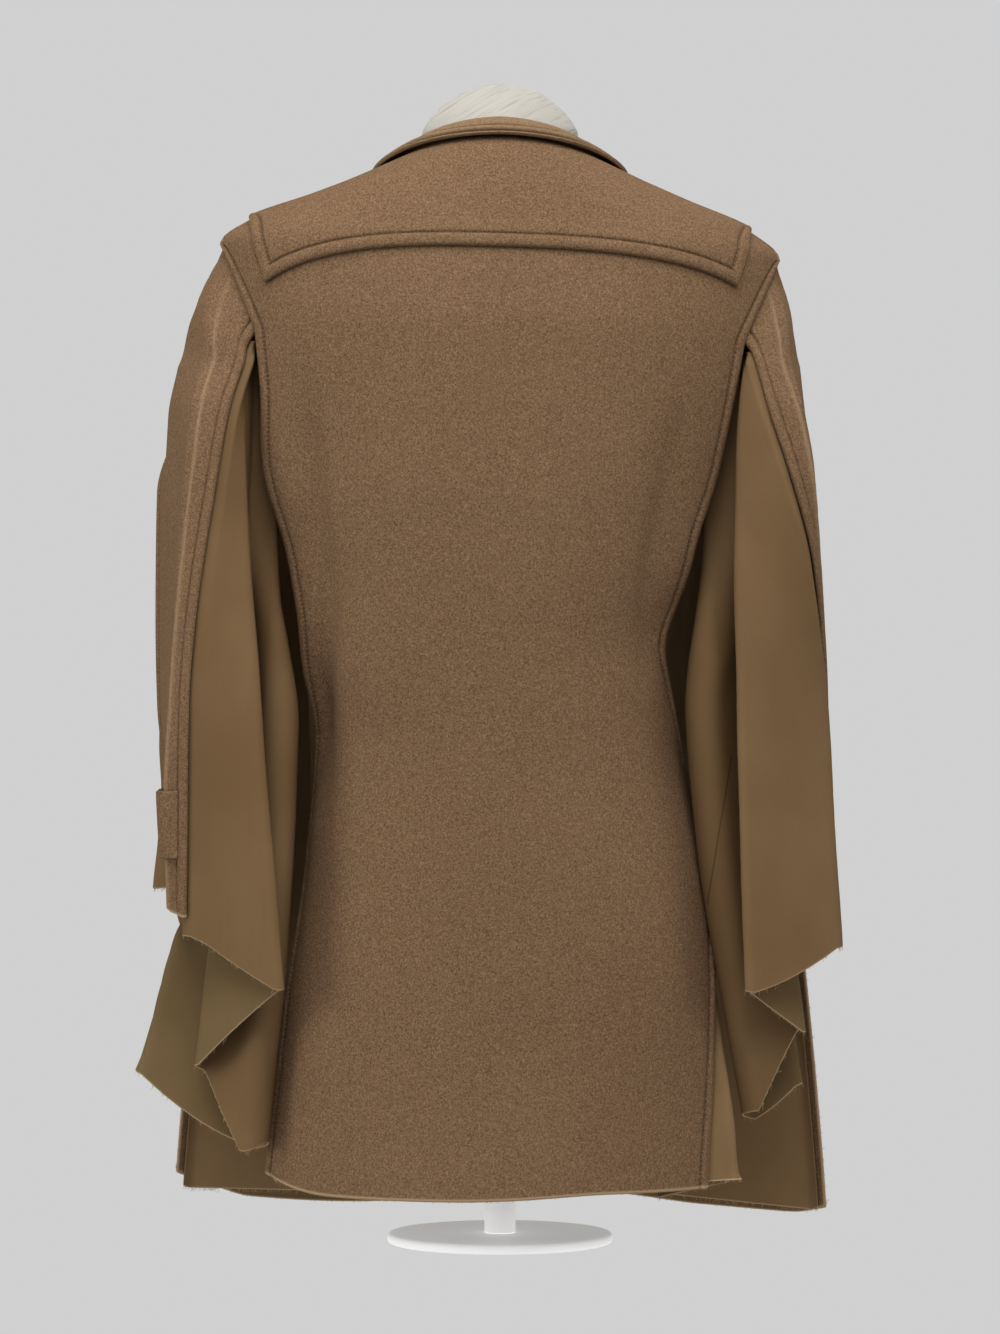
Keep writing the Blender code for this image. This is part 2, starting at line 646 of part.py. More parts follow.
def belt(stations, radii, arc_points, line_points, sags=()):
    """Evenly placed points along the line through the stations: some round each station's arc
    and some on each straight stretch. "sags" is how far each stretch hangs at its middle."""
    path, middles = belt_path(stations, radii)
    lengths = [0.0]
    for before, after in zip(path, path[1:]):
        lengths.append(lengths[-1] + (after.xy - before.xy).length)
    centres = [lengths[i] for i in middles]
    wanted = [0.0]
    edge = 0.0
    for i in range(1, len(stations)):
        reach = 0.0
        if i < len(stations) - 1:
            half = ARC_STEPS // 2
            arc_length = lengths[middles[i] + half] - lengths[middles[i] - half]
            room = min(centres[i] - centres[i - 1], centres[i + 1] - centres[i])
            reach = min(max(0.5 * arc_length, ARC_REACH), 0.4 * room)
        for step in range(1, line_points + 1):
            wanted.append(mix(edge, centres[i] - reach, step / (line_points + 1)))
        if reach > 0.0:
            for step in range(arc_points):
                wanted.append(mix(centres[i] - reach, centres[i] + reach, step / (arc_points - 1)))
        edge = centres[i] + reach
    wanted.append(lengths[-1])
    points = [path_point(path, lengths, length) for length in wanted]
    for i, sag in enumerate(sags):
        for point, length in zip(points, wanted):
            part = (length - centres[i]) / (centres[i + 1] - centres[i])
            if 0.0 < part < 1.0:
                point.z -= sag * 4.0 * part * (1.0 - part)
    return points


def path_point(path, lengths, length):
    """The point at a length along a line."""
    low = bisect.bisect_right(lengths, length) - 1
    low = max(0, min(low, len(path) - 2))
    run = lengths[low + 1] - lengths[low]
    part = (length - lengths[low]) / run if run > 1e-9 else 0.0
    return path[low].lerp(path[low + 1], min(1.0, max(0.0, part)))


def mirrored(points, side):
    """Points worked out for the wearer's left, moved to the named side."""
    if side == "left":
        return points
    return [Vector((-point.x, point.y, point.z)) for point in points]


# Sleeves

def sleeve_line(side, level):
    """The wool sleeve's inner line at a height, worked out as if on the left."""
    table = SLEEVE[side]
    stations = []
    for place in ("back", "crease", "outer", "front"):
        stations.append((table.at(place + "_x", level), table.at(place + "_y", level), level))
    return belt(stations, SLEEVE_RADII, 4, 2)


def armhole_line(side, count):
    """The sleeve's top edge: along the straight stretches of the body's armhole, just outside
    it and a little sunk."""
    corners = []
    halves = ((side, 1.0, ARMHOLE_LEVELS), ("front_half", -1.0, ARMHOLE_LEVELS[-2::-1]))
    for column, sign, levels in halves:
        for level in levels:
            turn = sign * armhole_bearing(column, level)
            corners.append(armhole_point(side, turn, level))
    ends = len(corners) - 1
    points = []
    for step in range(count):
        place = ends * step / (count - 1)
        low = min(int(place), ends - 1)
        points.append(corners[low].lerp(corners[low + 1], place - low))
    return points


def armhole_point(side, turn, level):
    """A corner of the armhole, moved off the body's edge; worked out as if on the left."""
    bearing = turn if side == "left" else 180.0 - turn
    point = body_out(bearing, level, -HEAD_SINK)
    deeper = body_out(bearing, level, -HEAD_SINK - PROBE)
    out = Vector((abs(point.x) - abs(deeper.x), point.y - deeper.y, point.z - deeper.z))
    outwards, inwards, upwards = ARMHOLE_SLOPE
    rise = Vector((outwards, -math.copysign(inwards, turn), upwards)).normalized()
    away = rise.cross(out.normalized()).normalized()
    if away.z > 0.0:
        away = -away
    low = (TIP_LEVEL - level) / (TIP_LEVEL - APEX_LEVEL)
    return Vector((abs(point.x), point.y, point.z)) + away * mix(HEAD_GAP_TIP, HEAD_GAP_APEX, low)


def cap_line(side, part):
    """A line of the sleeve head, from the armhole (0) to the first full section (1). It bows
    out, most of all between its edges."""
    low = sleeve_line(side, SLEEVE_LEVELS[0])
    high = armhole_line(side, len(low))
    bow = CAP_BOW[side] * (4.0 * part * (1.0 - part)) ** 2
    line = []
    for i, (top, bottom) in enumerate(zip(high, low)):
        share = i / (len(low) - 1)
        fade = ease(share / CAP_FADE) * ease((1.0 - share) / CAP_FADE)
        out = bow * mix(CAP_EDGE_BOW, 1.0, fade)
        line.append(top.lerp(bottom, part) + Vector((out, 0.0, 0.0)))
    return line


def make_sleeve(side, collection):
    lines = [cap_line(side, part) for part in CAP_PARTS]
    lines += [sleeve_line(side, level) for level in SLEEVE_LEVELS]
    cuff = lines[-1]
    for i, point in enumerate(cuff):
        point.z += CUFF_RISE[side] * i / (len(cuff) - 1)
    rows = [mirrored(line, side) for line in lines]
    grows = 1.0 if side == "left" else -1.0
    return cloth("sleeve_" + side, rows, WOOL, grows, "wool", collection)


def make_tab(side, collection):
    rows = []
    for step in range(TAB_ROWS):
        part = step / (TAB_ROWS - 1)
        line = sleeve_line(side, mix(TAB_TOP, TAB_BOTTOM, part))
        row = []
        for i in range(1, len(line) - 1):
            ahead = line[i + 1] - line[i - 1]
            out = Vector((-ahead.y, ahead.x, 0.0)).normalized()
            away = min(i - 1, len(line) - 2 - i) / (0.5 * (len(line) - 3))
            bow = TAB_BOW * ease(2.0 * away) * mix(1.0, TAB_LOW_BOW, part)
            row.append(line[i] + out * (WOOL + LAY_GAP + bow))
        rows.append(mirrored(row, side))
    grows = 1.0 if side == "left" else -1.0
    return cloth("sleeve_tab_" + side, rows, WOOL, grows, "wool", collection)


# Under-sleeves

def sleeve_row_line(side, level):
    """The wool sleeve's inner line between two of its rows. Above them it runs straight
    to the armhole."""
    if level > SLEEVE_LEVELS[0]:
        low = sleeve_line(side, SLEEVE_LEVELS[0])
        high = armhole_line(side, len(low))
        return [top.lerp(bottom, (top.z - level) / (top.z - bottom.z)) for top, bottom in zip(high, low)]
    level = max(SLEEVE_LEVELS[-1], level)
    low = max(i for i in range(len(SLEEVE_LEVELS) - 1) if SLEEVE_LEVELS[i] >= level)
    high_level, low_level = SLEEVE_LEVELS[low], SLEEVE_LEVELS[low + 1]
    part = (high_level - level) / (high_level - low_level)
    pairs = zip(sleeve_line(side, high_level), sleeve_line(side, low_level))
    return [upper.lerp(lower, part) for upper, lower in pairs]


def sleeve_edge(side, end, level):
    """A point of the wool's back or front edge, and one further in by the lap, both on the
    inside of the wool and clear of it."""
    line = sleeve_row_line(side, level)
    if end == "front":
        line = line[::-1]
    along = (line[1] - line[0]).normalized()
    inward = Vector((along.y, -along.x, 0.0)) * (1.0 if end == "back" else -1.0)
    spot = line[0] + inward * LAP_CLEAR
    lap = spot + along * LAP + inward * LAP_SLANT
    return Vector((spot.x, spot.y, level)), Vector((lap.x, lap.y, level))


def bell_line(side, part):
    """The under-sleeve's line, from the underarm (part 0) to its hem (part 1)."""
    back_hem, front_hem = BELL_EDGE_HEM[side]
    back_edge, back_lap = sleeve_edge(side, "back", mix(BELL_TOP, back_hem, part))
    front_edge, front_lap = sleeve_edge(side, "front", mix(BELL_TOP, front_hem, part))
    stations = [back_lap, back_edge]
    radii = [0.0, EDGE_RADIUS]
    sags = [0.0, 0.0]
    starts = {"turn": back_edge, "hook": front_edge}
    swelling = ease((part - SWELL_FROM) / (SWELL_FULL - SWELL_FROM))
    swelling *= ease((1.0 - part) / (1.0 - SWELL_FULL))
    early = math.sin(math.pi * math.sqrt(part))
    middle = math.sin(math.pi * part) * ease((part - PULL_FROM) / (PULL_FULL - PULL_FROM))
    for row in FOLDS[side]:
        fold = dict(zip(FOLD_COLUMNS, row))
        start = starts.get(fold["fold"], Vector((0.0, 0.0, 0.0)))
        x = start.x + mix(fold["top_x"], fold["hem_x"], part ** fold["bow_x"])
        y = start.y + mix(fold["top_y"], fold["hem_y"], part ** fold["bow_y"])
        x += fold["swell"] * swelling + fold["draw_x"] * early + fold["pull_x"] * middle
        y += fold["pull_y"] * middle
        stations.append(Vector((x, y, mix(BELL_TOP, fold["hem_z"], part))))
        radii.append(fold["radius"])
        sags.append(fold["sag"] * part)
    stations += [front_edge, front_lap]
    radii += [EDGE_RADIUS, 0.0]
    return belt(stations, radii, 4, 2, sags)


def bell_crown(side):
    """The under-sleeve's top row, just below the armhole's ends: plain, from the wool's back
    edge to its front edge, with its folds not yet open."""
    head = armhole_line(side, 2)
    level = min(head[0].z, head[-1].z) - HEAD_ROOM
    back_edge, back_lap = sleeve_edge(side, "back", level)
    front_edge, front_lap = sleeve_edge(side, "front", level)
    stations = [back_lap, back_edge]
    radii = [0.0, EDGE_RADIUS]
    for part in CROWN_PARTS.values():
        bow = Vector((CROWN_BOW * 4.0 * part * (1.0 - part), 0.0, 0.0))
        stations.append(back_edge.lerp(front_edge, part) - bow)
        radii.append(EDGE_RADIUS)
    stations += [front_edge, front_lap]
    radii += [EDGE_RADIUS, 0.0]
    return belt(stations, radii, 4, 2)


def make_bell(side, collection):
    lines = [bell_crown(side)]
    lines += [bell_line(side, part) for part in BELL_PARTS]
    rows = [mirrored(line, side) for line in lines]
    return cloth("under_sleeve_" + side, rows, GABARDINE, 0.0, "gabardine", collection)


# Side godets

def panel_edge(side, panel, level):
    """Two points inside a panel's wall, a lap apart: from its raw edge on the back, and from
    a lap short of the raw edge on a front."""
    if panel == "back":
        turn = side_bearing(side, "back_" + side, level)
        sign = 1.0
    else:
        turn = side_bearing("front_half", "front", level)
        sign = -1.0
    step = math.degrees(LAP / BODY.at("front_half" if panel == "front" else side, level))
    first = turn if panel == "back" else turn + step
    spots = []
    for degrees in (first, first + step):
        bearing = sign * degrees if side == "left" else 180.0 - sign * degrees
        point = body_out(bearing, level, -LAP_CLEAR)
        spots.append(Vector((abs(point.x), point.y, level)))
    return spots


def godet_line(side, level, hem=None):
    """The godet's line at a height. "hem" gives each station's own height on the last row."""
    table = GODET[side]
    heights = hem or [level] * 6
    back_edge, back_lap = panel_edge(side, "back", heights[1])
    front_end, front_lap = panel_edge(side, "front", heights[4])
    stations = [back_lap, back_edge,
                Vector((table.at("outer_x", level), table.at("outer_y", level), 0.0)),
                Vector((table.at("inner_x", level), table.at("inner_y", level), 0.0)),
                front_lap, front_end]
    for station, height in zip(stations, heights):
        station.z = height
    return belt(stations, GODET_RADII, 4, 1)


def make_godet(side, collection):
    lines = [godet_line(side, level) for level in GODET_LEVELS]
    lines.append(godet_line(side, GODET_LOW, GODET_HEM[side]))
    rows = [mirrored(line, side) for line in lines]
    return cloth("side_godet_" + side, rows, GABARDINE, 0.0, "gabardine", collection)


# Buttons

def make_button(index, collection):
    """A plain round button on the right front, at the centre front."""
    level = BUTTON_TOP - BUTTON_STEP * index
    sink = BUTTON_SINK * ease((level - BUTTON_SINK_FROM) / BUTTON_SINK_RUN)
    lift = WOOL + LAY_GAP + WOOL + SEAM_GAP - sink
    seat = body_out(270.0, level, lift)
    out = (body_out(270.0, level, lift + PROBE) - seat).normalized()
    name = "button_{}".format(index + 1)
    mesh = bpy.data.meshes.new(name)
    disc = bmesh.new()
    bmesh.ops.create_cone(disc, cap_ends=True, segments=20, radius1=BUTTON_RADIUS,
                          radius2=BUTTON_RADIUS, depth=BUTTON_THICK)
    disc.to_mesh(mesh)
    disc.free()
    button = add_object(name, mesh, "button_horn", collection)
    button.rotation_mode = "QUATERNION"
    button.rotation_quaternion = out.to_track_quat("Z", "Y")
    button.location = seat + out * 0.5 * BUTTON_THICK
    rim = button.modifiers.new("rim", "BEVEL")
    rim.width = BUTTON_BEVEL
    rim.segments = 1
    rim.limit_method = "ANGLE"
    return button


# Dress form and stand

def form_rings():
    """(level, half, back depth, front depth) rows of the form, from its underside up."""
    rings = []
    for level in FORM_LEVELS:
        rings.append((level, FORM.at("half", level), FORM.at("back", level), FORM.at("front", level)))
    for half, back, front in reversed(FORM_SEAT.rows):
        ridge = coat_ridge_level(half)
        rings.append((ridge - lean(ridge) * half - FORM_GAP, half, back, front))
    rings += NECK_ROWS.rows
    for step in range(DOME_STEPS + 1):
        turn = 0.5 * math.pi * DOME_SHARE * step / DOME_STEPS
        level = mix(NECK_DOME_LEVEL, NECK_TOP, math.sin(turn) ** NECK_DOME_POWER)
        radius = NECK_RADIUS * math.cos(turn)
        rings.append((level, radius, radius * NECK_BACK, radius))
    return rings


def coat_ridge_level(half):
    """The level at which the coat's shoulder ridge is this far from the middle."""
    low, high = TIP_LEVEL, NECK_LEVEL
    for _ in range(40):
        middle = 0.5 * (low + high)
        if BODY.at("right", middle) > half:
            low = middle
        else:
            high = middle
    return low


def make_form(collection):
    mesh = bpy.data.meshes.new("form_torso")
    form = bmesh.new()
    loops = []
    for level, half, back, front in form_rings():
        loop = []
        for step in range(FORM_SIDES):
            turn = 2.0 * math.pi * step / FORM_SIDES
            depth = back if math.sin(turn) >= 0.0 else front
            loop.append(form.verts.new((half * math.cos(turn), depth * math.sin(turn), level)))
        loops.append(loop)
    for low, high in zip(loops, loops[1:]):
        for i in range(FORM_SIDES):
            j = (i + 1) % FORM_SIDES
            form.faces.new((low[i], low[j], high[j], high[i]))
    form.faces.new(loops[0][::-1])
    form.faces.new(loops[-1])
    form.to_mesh(mesh)
    form.free()
    return add_object("form_torso", mesh, "form_cloth", collection)


def make_round(name, radius, low, high, sides, bevel, collection):
    """An upright cylinder between two heights, on the stand's axis."""
    mesh = bpy.data.meshes.new(name)
    rod = bmesh.new()
    bmesh.ops.create_cone(rod, cap_ends=True, segments=sides, radius1=radius, radius2=radius,
                          depth=high - low)
    rod.to_mesh(mesh)
    rod.free()
    thing = add_object(name, mesh, "stand_paint", collection)
    thing.location.z = 0.5 * (low + high)
    if bevel:
        rim = thing.modifiers.new("rim", "BEVEL")
        rim.width = bevel
        rim.segments = 2
        rim.limit_method = "ANGLE"
    return thing


def make_stand(collection):
    make_round("form_base", BASE_RADIUS, 0.0, BASE_THICK, 48, BASE_BEVEL, collection)
    make_round("form_post", POST_RADIUS, BASE_THICK + STAND_GAP, FORM_LEVELS[0] - STAND_GAP, 24,
               0.0, collection)


def main():
    clear_scene()
    collection = bpy.data.collections.new(COLLECTION)
    bpy.context.scene.collection.children.link(collection)
    make_back(collection)
    make_yoke(collection)
    make_collar(collection)
    for side in ("left", "right"):
        make_front(side, collection)
        make_sleeve(side, collection)
        make_tab(side, collection)
        make_bell(side, collection)
        make_godet(side, collection)
    for index in range(BUTTON_COUNT):
        make_button(index, collection)
    make_form(collection)
    make_stand(collection)


main()
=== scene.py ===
"""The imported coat, dressed: fine cloth shells, stitched edges, raw hems, nap and twill.

Metres, in the part's own frame. The camera looks at the coat's back, along -Y.
"""

import math

import bpy
import numpy as np
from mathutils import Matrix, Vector


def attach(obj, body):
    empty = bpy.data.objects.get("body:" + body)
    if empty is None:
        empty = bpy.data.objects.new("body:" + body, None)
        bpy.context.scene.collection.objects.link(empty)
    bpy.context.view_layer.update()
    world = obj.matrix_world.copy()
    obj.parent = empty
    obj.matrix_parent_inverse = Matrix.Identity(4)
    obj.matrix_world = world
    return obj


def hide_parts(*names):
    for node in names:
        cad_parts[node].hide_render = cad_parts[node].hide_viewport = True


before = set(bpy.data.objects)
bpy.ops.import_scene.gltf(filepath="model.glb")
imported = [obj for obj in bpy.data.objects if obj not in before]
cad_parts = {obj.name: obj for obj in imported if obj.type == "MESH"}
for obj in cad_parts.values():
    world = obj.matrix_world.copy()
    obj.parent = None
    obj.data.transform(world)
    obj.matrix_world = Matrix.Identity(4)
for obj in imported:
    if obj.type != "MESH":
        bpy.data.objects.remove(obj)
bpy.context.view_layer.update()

# Cloth walls and the gaps between pieces
WOOL = 0.0024
GABARDINE = 0.0011
SEAM_GAP = 0.0004
LAY_GAP = 0.0008
YOKE_LIFT = 0.0036
LAP_CLEAR = 0.0017
LAP = 0.009
LAP_SLANT = 0.0012

# How the body's sections are shaped
SQUARENESS = 2.2
NECK_LEVEL = 0.856
TIP_LEVEL = 0.7905
APEX_LEVEL = 0.723
APEX_HALF = 0.192
BACK_RISE = 0.018
BACK_RISE_FROM = 0.800
FRONT_DROP = 0.072
FRONT_DROP_FROM = 0.700
LEAN = 0.030
LEAN_FROM = 0.600
LEAN_FULL = 0.780
LEAN_AT_NECK = 0.35
RIDGE_DEGREES = 0.15
PROBE = 0.010
PROBE_DOWN = 0.002

# Front closing
OVERLAP_HALF = 0.020
OVERLAP_RUN = 0.040
BUTTON_COUNT = 5
BUTTON_SINK = 0.0008
BUTTON_SINK_FROM = 0.500
BUTTON_SINK_RUN = 0.200
BUTTON_TOP = 0.735
BUTTON_STEP = 0.118

# Dress form and stand
FORM_GAP = 0.0006
NECK_RADIUS = 0.0625
NECK_DOME_LEVEL = 0.885
NECK_TOP = 0.926
NECK_DOME_POWER = 1.4
NECK_BACK = 0.95
DOME_STEPS = 4
DOME_SHARE = 0.93
POST_RADIUS = 0.0125
POST_STEP = 0.020
POST_SIDES = 64
BASE_THICK = 0.008
BASE_SIDES = 128
STAND_GAP = 0.0003
FORM_FOOT = 0.200
FORM_SHOULDER = 0.785
FORM_ROWS = 40
FORM_FINE = 4
FORM_SIDES = 96
HALVINGS = 40

# The base's profile: radius and height, from its underside round the rim to its middle
BASE_PROFILE = [(0.0870, 0.0), (0.0892, 0.0008), (0.0900, 0.0026), (0.0900, 0.0052),
                (0.0892, 0.0072), (0.0870, BASE_THICK), (0.0300, BASE_THICK),
                (0.0010, BASE_THICK)]

# Rounding of folded sections
ROUND_ROOM = 0.24
ARC_STEPS = 24
ARC_REACH = 0.002
EDGE_RADIUS = 0.002
LARGEST_SWEEP = 1.6 * math.pi

# Under-sleeve, side godet and tab limits
BELL_TOP = 0.700
HEAD_ROOM = 0.008
CROWN_BOW = 0.004
GODET_TOP = 0.660
GODET_LOW = 0.050
CUFF_RUN = 0.046
TAB_TOP = 0.362
TAB_BOTTOM = 0.310
TAB_BOW = 0.0025
TAB_LOW_BOW = 0.4

# Stitched edges: the stitch line's distance from the edge and its pitch, its groove, the puff
# beside it, how far in from the edge a piece's reverse begins, how far a cut edge bulges for its
# wall, and how far out the bulge counts as
STITCH_IN = 0.0100
STITCH_PITCH = 0.0034
GROOVE_DEEP = 0.0014
GROOVE_WIDE = 0.0014
PUFF = 0.0017
PUFF_ROUND = 0.6
REVERSE_FROM = 0.0140
EDGE_ROUND = 0.35
RIM_OUT = 0.001

# The collar's two stitch lines, from its edge: the ridges beside them, and how strong and how far
# from the edge their painted highlight is
COLLAR_LINES = (0.0022, 0.0068)
COLLAR_PUFF = 0.0013
COLLAR_GROOVE_DEEP = 0.0008
COLLAR_GROOVE_WIDE = 0.0008
COLLAR_HIGHLIGHT = 0.55
COLLAR_HIGHLIGHT_TO = 0.018

# The pressed ridge down each sleeve: its point in a sleeve's rows, its half width and its rise,
# and the height at which it begins and the run over which it comes up
CREASE_POINT = 27
RIDGE_WIDE = 0.0019
RIDGE_HIGH = 0.0012
RIDGE_TOP = 0.790
RIDGE_RUN = 0.080

# Slow ripples of the gabardine: how many waves, their tilts, pitches and swings, their depth, how
# far from a side edge they fade, and the seeds of the draws
RIPPLE_WAVES = 7
RIPPLE_TILT = 0.5
RIPPLE_PITCH = (0.054, 0.162)
RIPPLE_SWING = (0.4, 1.0)
RIPPLE_DEPTH = 0.0008 / 3.0
RIPPLE_FADE = 0.03
BELL_SEED = 3
GODET_SEED = 5

# Loose threads on raw edges: the count, the longest and the seed of the draws
FRAY = {
    "wool_hem": (260, 0.0022, 11),
    "wool_side": (260, 0.0034, 12),
    "gabardine": (240, 0.0045, 13),
}

# A loose thread: how it sways along the edge, out of the cloth and at its tip, how much shorter
# than the longest it can be, how far in it is rooted, and half its thickness from root to tip.
# The way out of the cloth is taken from a row of points a little way in
THREAD_ROW = 3
THREAD_SWAY = 0.6
THREAD_LIFT = 0.3
THREAD_BEND = 0.4
THREAD_SHORT = 0.25
THREAD_SPREAD = 1.5
THREAD_ROOT = 0.001
THREAD_THICK = (0.00020, 0.00018, 0.00010)

# The seam down the right under-sleeve's third fold: where it can lie, front to back and in height
SEAM_NEAR = (0.033, 0.070)
SEAM_SPAN = (0.270, 0.395)

# Places of points from an edge: a stitched one, the collar's, and a raw one
STITCHED_STEPS = np.array([0.0, 0.0006, 0.0018, 0.0038, 0.0060, 0.0078, 0.0088, 0.0095, 0.0100,
                           0.0105, 0.0112, 0.0124, 0.0145, 0.0175])
COLLAR_STEPS = np.array([0.0, 0.0005, 0.0011, 0.0017, 0.0022, 0.0028, 0.0036, 0.0045, 0.0054,
                         0.0062, 0.0068, 0.0075, 0.0085, 0.0100, 0.0120])
RAW_STEPS = np.array([0.0, 0.0007, 0.0020])
STEP_ROOM = 0.4

# Dense points across and up a panel's surface, and rows and steps of the folded pieces
DENSE = {"back": (320, 420), "front": (220, 360), "back_yoke": (320, 200), "collar": (260, 90)}
LEAF_POINTS = 25
CAP_ROWS = 40
SLEEVE_ROWS = 180
SLEEVE_FINE = 6
TAB_ROWS = 40
CROWN_ROWS = 6
BELL_ROWS = 130
BELL_FINE = 3
GODET_ROWS = 130
GODET_FINE = 4
ARC_POINTS = 4

# Points across and up each piece's shell, between the ones along its edges
SHELL_POINTS = {
    "back": (96, 190),
    "back_yoke": (120, 40),
    "collar": (22, 200),
    "front": (56, 130),
    "sleeve": (60, 150),
    "sleeve_tab": (40, 16),
    "under_sleeve": (170, 120),
    "side_godet": (90, 110),
}

# Photo frame
CAMERA_AWAY = 4.0
CAMERA_HIGH = 0.46
METRES_PER_PIXEL = 0.0008
PHOTO_TALL = 1334
SENSOR_MM = 36.0


class Table:
    """Rows of named columns, read at any first-column value by a smooth curve."""

    def __init__(self, columns, rows):
        self.names = columns.split()
        self.rows = sorted(rows)
        self.values = np.array(self.rows, float)

    def at(self, name, place):
        return smooth_value(self.values[:, 0], self.values[:, self.names.index(name)], place)


def smooth_value(places, values, place):
    """A cubic through the values that never swings past them."""
    place = np.clip(place, places[0], places[-1])
    run = np.diff(places)
    slope = np.diff(values) / run
    product = slope[:-1] * slope[1:]
    same = product > 0.0
    inner = np.where(same, 2.0 * product / np.where(same, slope[:-1] + slope[1:], 1.0), 0.0)
    tangent = np.concatenate([slope[:1], inner, slope[-1:]])
    low = np.clip(np.searchsorted(places, place, side="right") - 1, 0, len(run) - 1)
    part = (place - places[low]) / run[low]
    square, cube = part * part, part ** 3
    return ((2.0 * cube - 3.0 * square + 1.0) * values[low]
            + (cube - 2.0 * square + part) * run[low] * tangent[low]
            + (3.0 * square - 2.0 * cube) * values[low + 1]
            + (cube - square) * run[low] * tangent[low + 1])


def ease(part):
    """0 to 1 with soft ends."""
    part = np.clip(part, 0.0, 1.0)
    return part * part * (3.0 - 2.0 * part)


def mix(first, second, part):
    return first + (second - first) * part


def unit(ways):
    return ways / np.maximum(np.linalg.norm(ways, axis=-1, keepdims=True), 1e-12)


# Body sections: the coat's inner face. Halves are along X, depths along Y
BODY = Table("level left right back front_half front", [
    (0.000, 0.194, 0.188, 0.141, 0.310, 0.161),
    (0.050, 0.190, 0.186, 0.138, 0.306, 0.158),
    (0.200, 0.172, 0.177, 0.128, 0.290, 0.150),
    (0.300, 0.1525, 0.163, 0.120, 0.276, 0.142),
    (0.400, 0.1445, 0.142, 0.115, 0.262, 0.137),
    (0.470, 0.1635, 0.135, 0.116, 0.252, 0.135),
    (0.550, 0.1785, 0.1665, 0.119, 0.240, 0.139),
    (0.610, 0.1965, 0.185, 0.122, 0.230, 0.142),
    (APEX_LEVEL, 0.212, 0.211, 0.122, 0.214, 0.140),
    (0.760, 0.2175, 0.217, 0.117, 0.2175, 0.133),
    (TIP_LEVEL, 0.2200, 0.2200, 0.110, 0.2200, 0.123),
    (0.808, 0.1995, 0.1995, 0.103, 0.1995, 0.115),
    (0.829, 0.1465, 0.1465, 0.0935, 0.1465, 0.104),
    (0.849, 0.0970, 0.0970, 0.0750, 0.0970, 0.088),
    (NECK_LEVEL, 0.0790, 0.0790, 0.0650, 0.0790, 0.078),
])

# Side edges of the back and fronts, in degrees from the side towards the centre
SIDE_EDGE = Table("level back_left back_right front", [
    (0.000, 15.0, 32.0, 32.0),
    (0.050, 15.0, 31.0, 32.0),
    (0.120, 15.0, 26.0, 32.0),
    (0.200, 13.0, 19.0, 32.0),
    (0.247, 10.0, 14.0, 32.0),
    (0.290, 4.0, 5.0, 32.0),
    (0.350, 0.0, 0.0, 32.0),
    (0.400, 6.0, 6.0, 32.0),
    (0.440, 14.0, 13.0, 32.0),
    (0.477, 20.0, 20.0, 32.0),
    (0.504, 22.0, 21.0, 31.5),
    (0.565, 22.0, 26.5, 30.0),
    (0.614, 21.5, 24.5, 29.0),
    (0.680, 26.0, 25.4, 27.5),
    (APEX_LEVEL, 26.4, 26.0, 26.5),
])

# Hem heights across each panel, from one edge (0) to the other (1)
BACK_HEM = Table("across level", [
    (0.00, 0.060), (0.25, 0.048), (0.50, 0.047), (0.75, 0.052), (1.00, 0.052)])
FRONT_HEM = {
    "left": Table("across level", [
        (0.00, 0.048), (0.15, 0.036), (0.30, 0.024), (0.65, 0.017), (1.00, 0.024)]),
    "right": Table("across level", [
        (0.00, 0.019), (0.15, 0.013), (0.45, 0.016), (0.75, 0.025), (1.00, 0.026)]),
}
HEM_LEVEL = 0.050
HEM_RUN = 0.050

# Yoke rows: the level at its sides and at its middle, and the half-width of its side edge
YOKE_SIDE_HALF = Table("level half", [(0.757, 0.1815), (0.808, 0.1970)])
YOKE_ROWS = Table("row side middle", [
    (0, 0.7570, 0.7865), (1, 0.7670, 0.7950), (2, 0.7700, 0.7975), (3, 0.7800, 0.8020),
    (4, 0.7880, 0.8060), (5, 0.7940, 0.8090), (6, 0.8000, 0.8120), (7, 0.8050, 0.8150),
    (8, 0.8080, 0.8180), (9, 0.8120, 0.8220), (10, 0.8220, 0.8280), (11, 0.8340, 0.8370),
    (12, 0.8460, 0.8470), (13, 0.8550, 0.8550)])
YOKE_SIDE_ROWS = 9
YOKE_CURVE = 2.5
YOKE_RIGHT_RISE = 0.0075

# Collar: bearing from the side (0) to centre back (90) or centre front (-90)
COLLAR = Table("bearing fold_rise knee_out leaf_level leaf_lift", [
    (-90.0, 0.012, 0.014, 0.778, 0.0090),
    (-75.0, 0.012, 0.014, 0.795, 0.0085),
    (-55.0, 0.011, 0.013, 0.818, 0.0075),
    (-30.0, 0.010, 0.010, 0.837, 0.0075),
    (0.0, 0.0072, 0.006, 0.8490, 0.0074),
    (30.0, 0.0092, 0.008, 0.8505, 0.0090),
    (60.0, 0.0140, 0.010, 0.8515, 0.0100),
    (90.0, 0.0166, 0.010, 0.8525, 0.0105),
])
COLLAR_END = 88.5
STAND_INSET = 0.0012
STAND_DROP = 0.001
FOLD_OUT = 0.002
KNEE_RISE = 0.001
STAND_ROUND = 0.002
STAND_LEAN = 0.00048

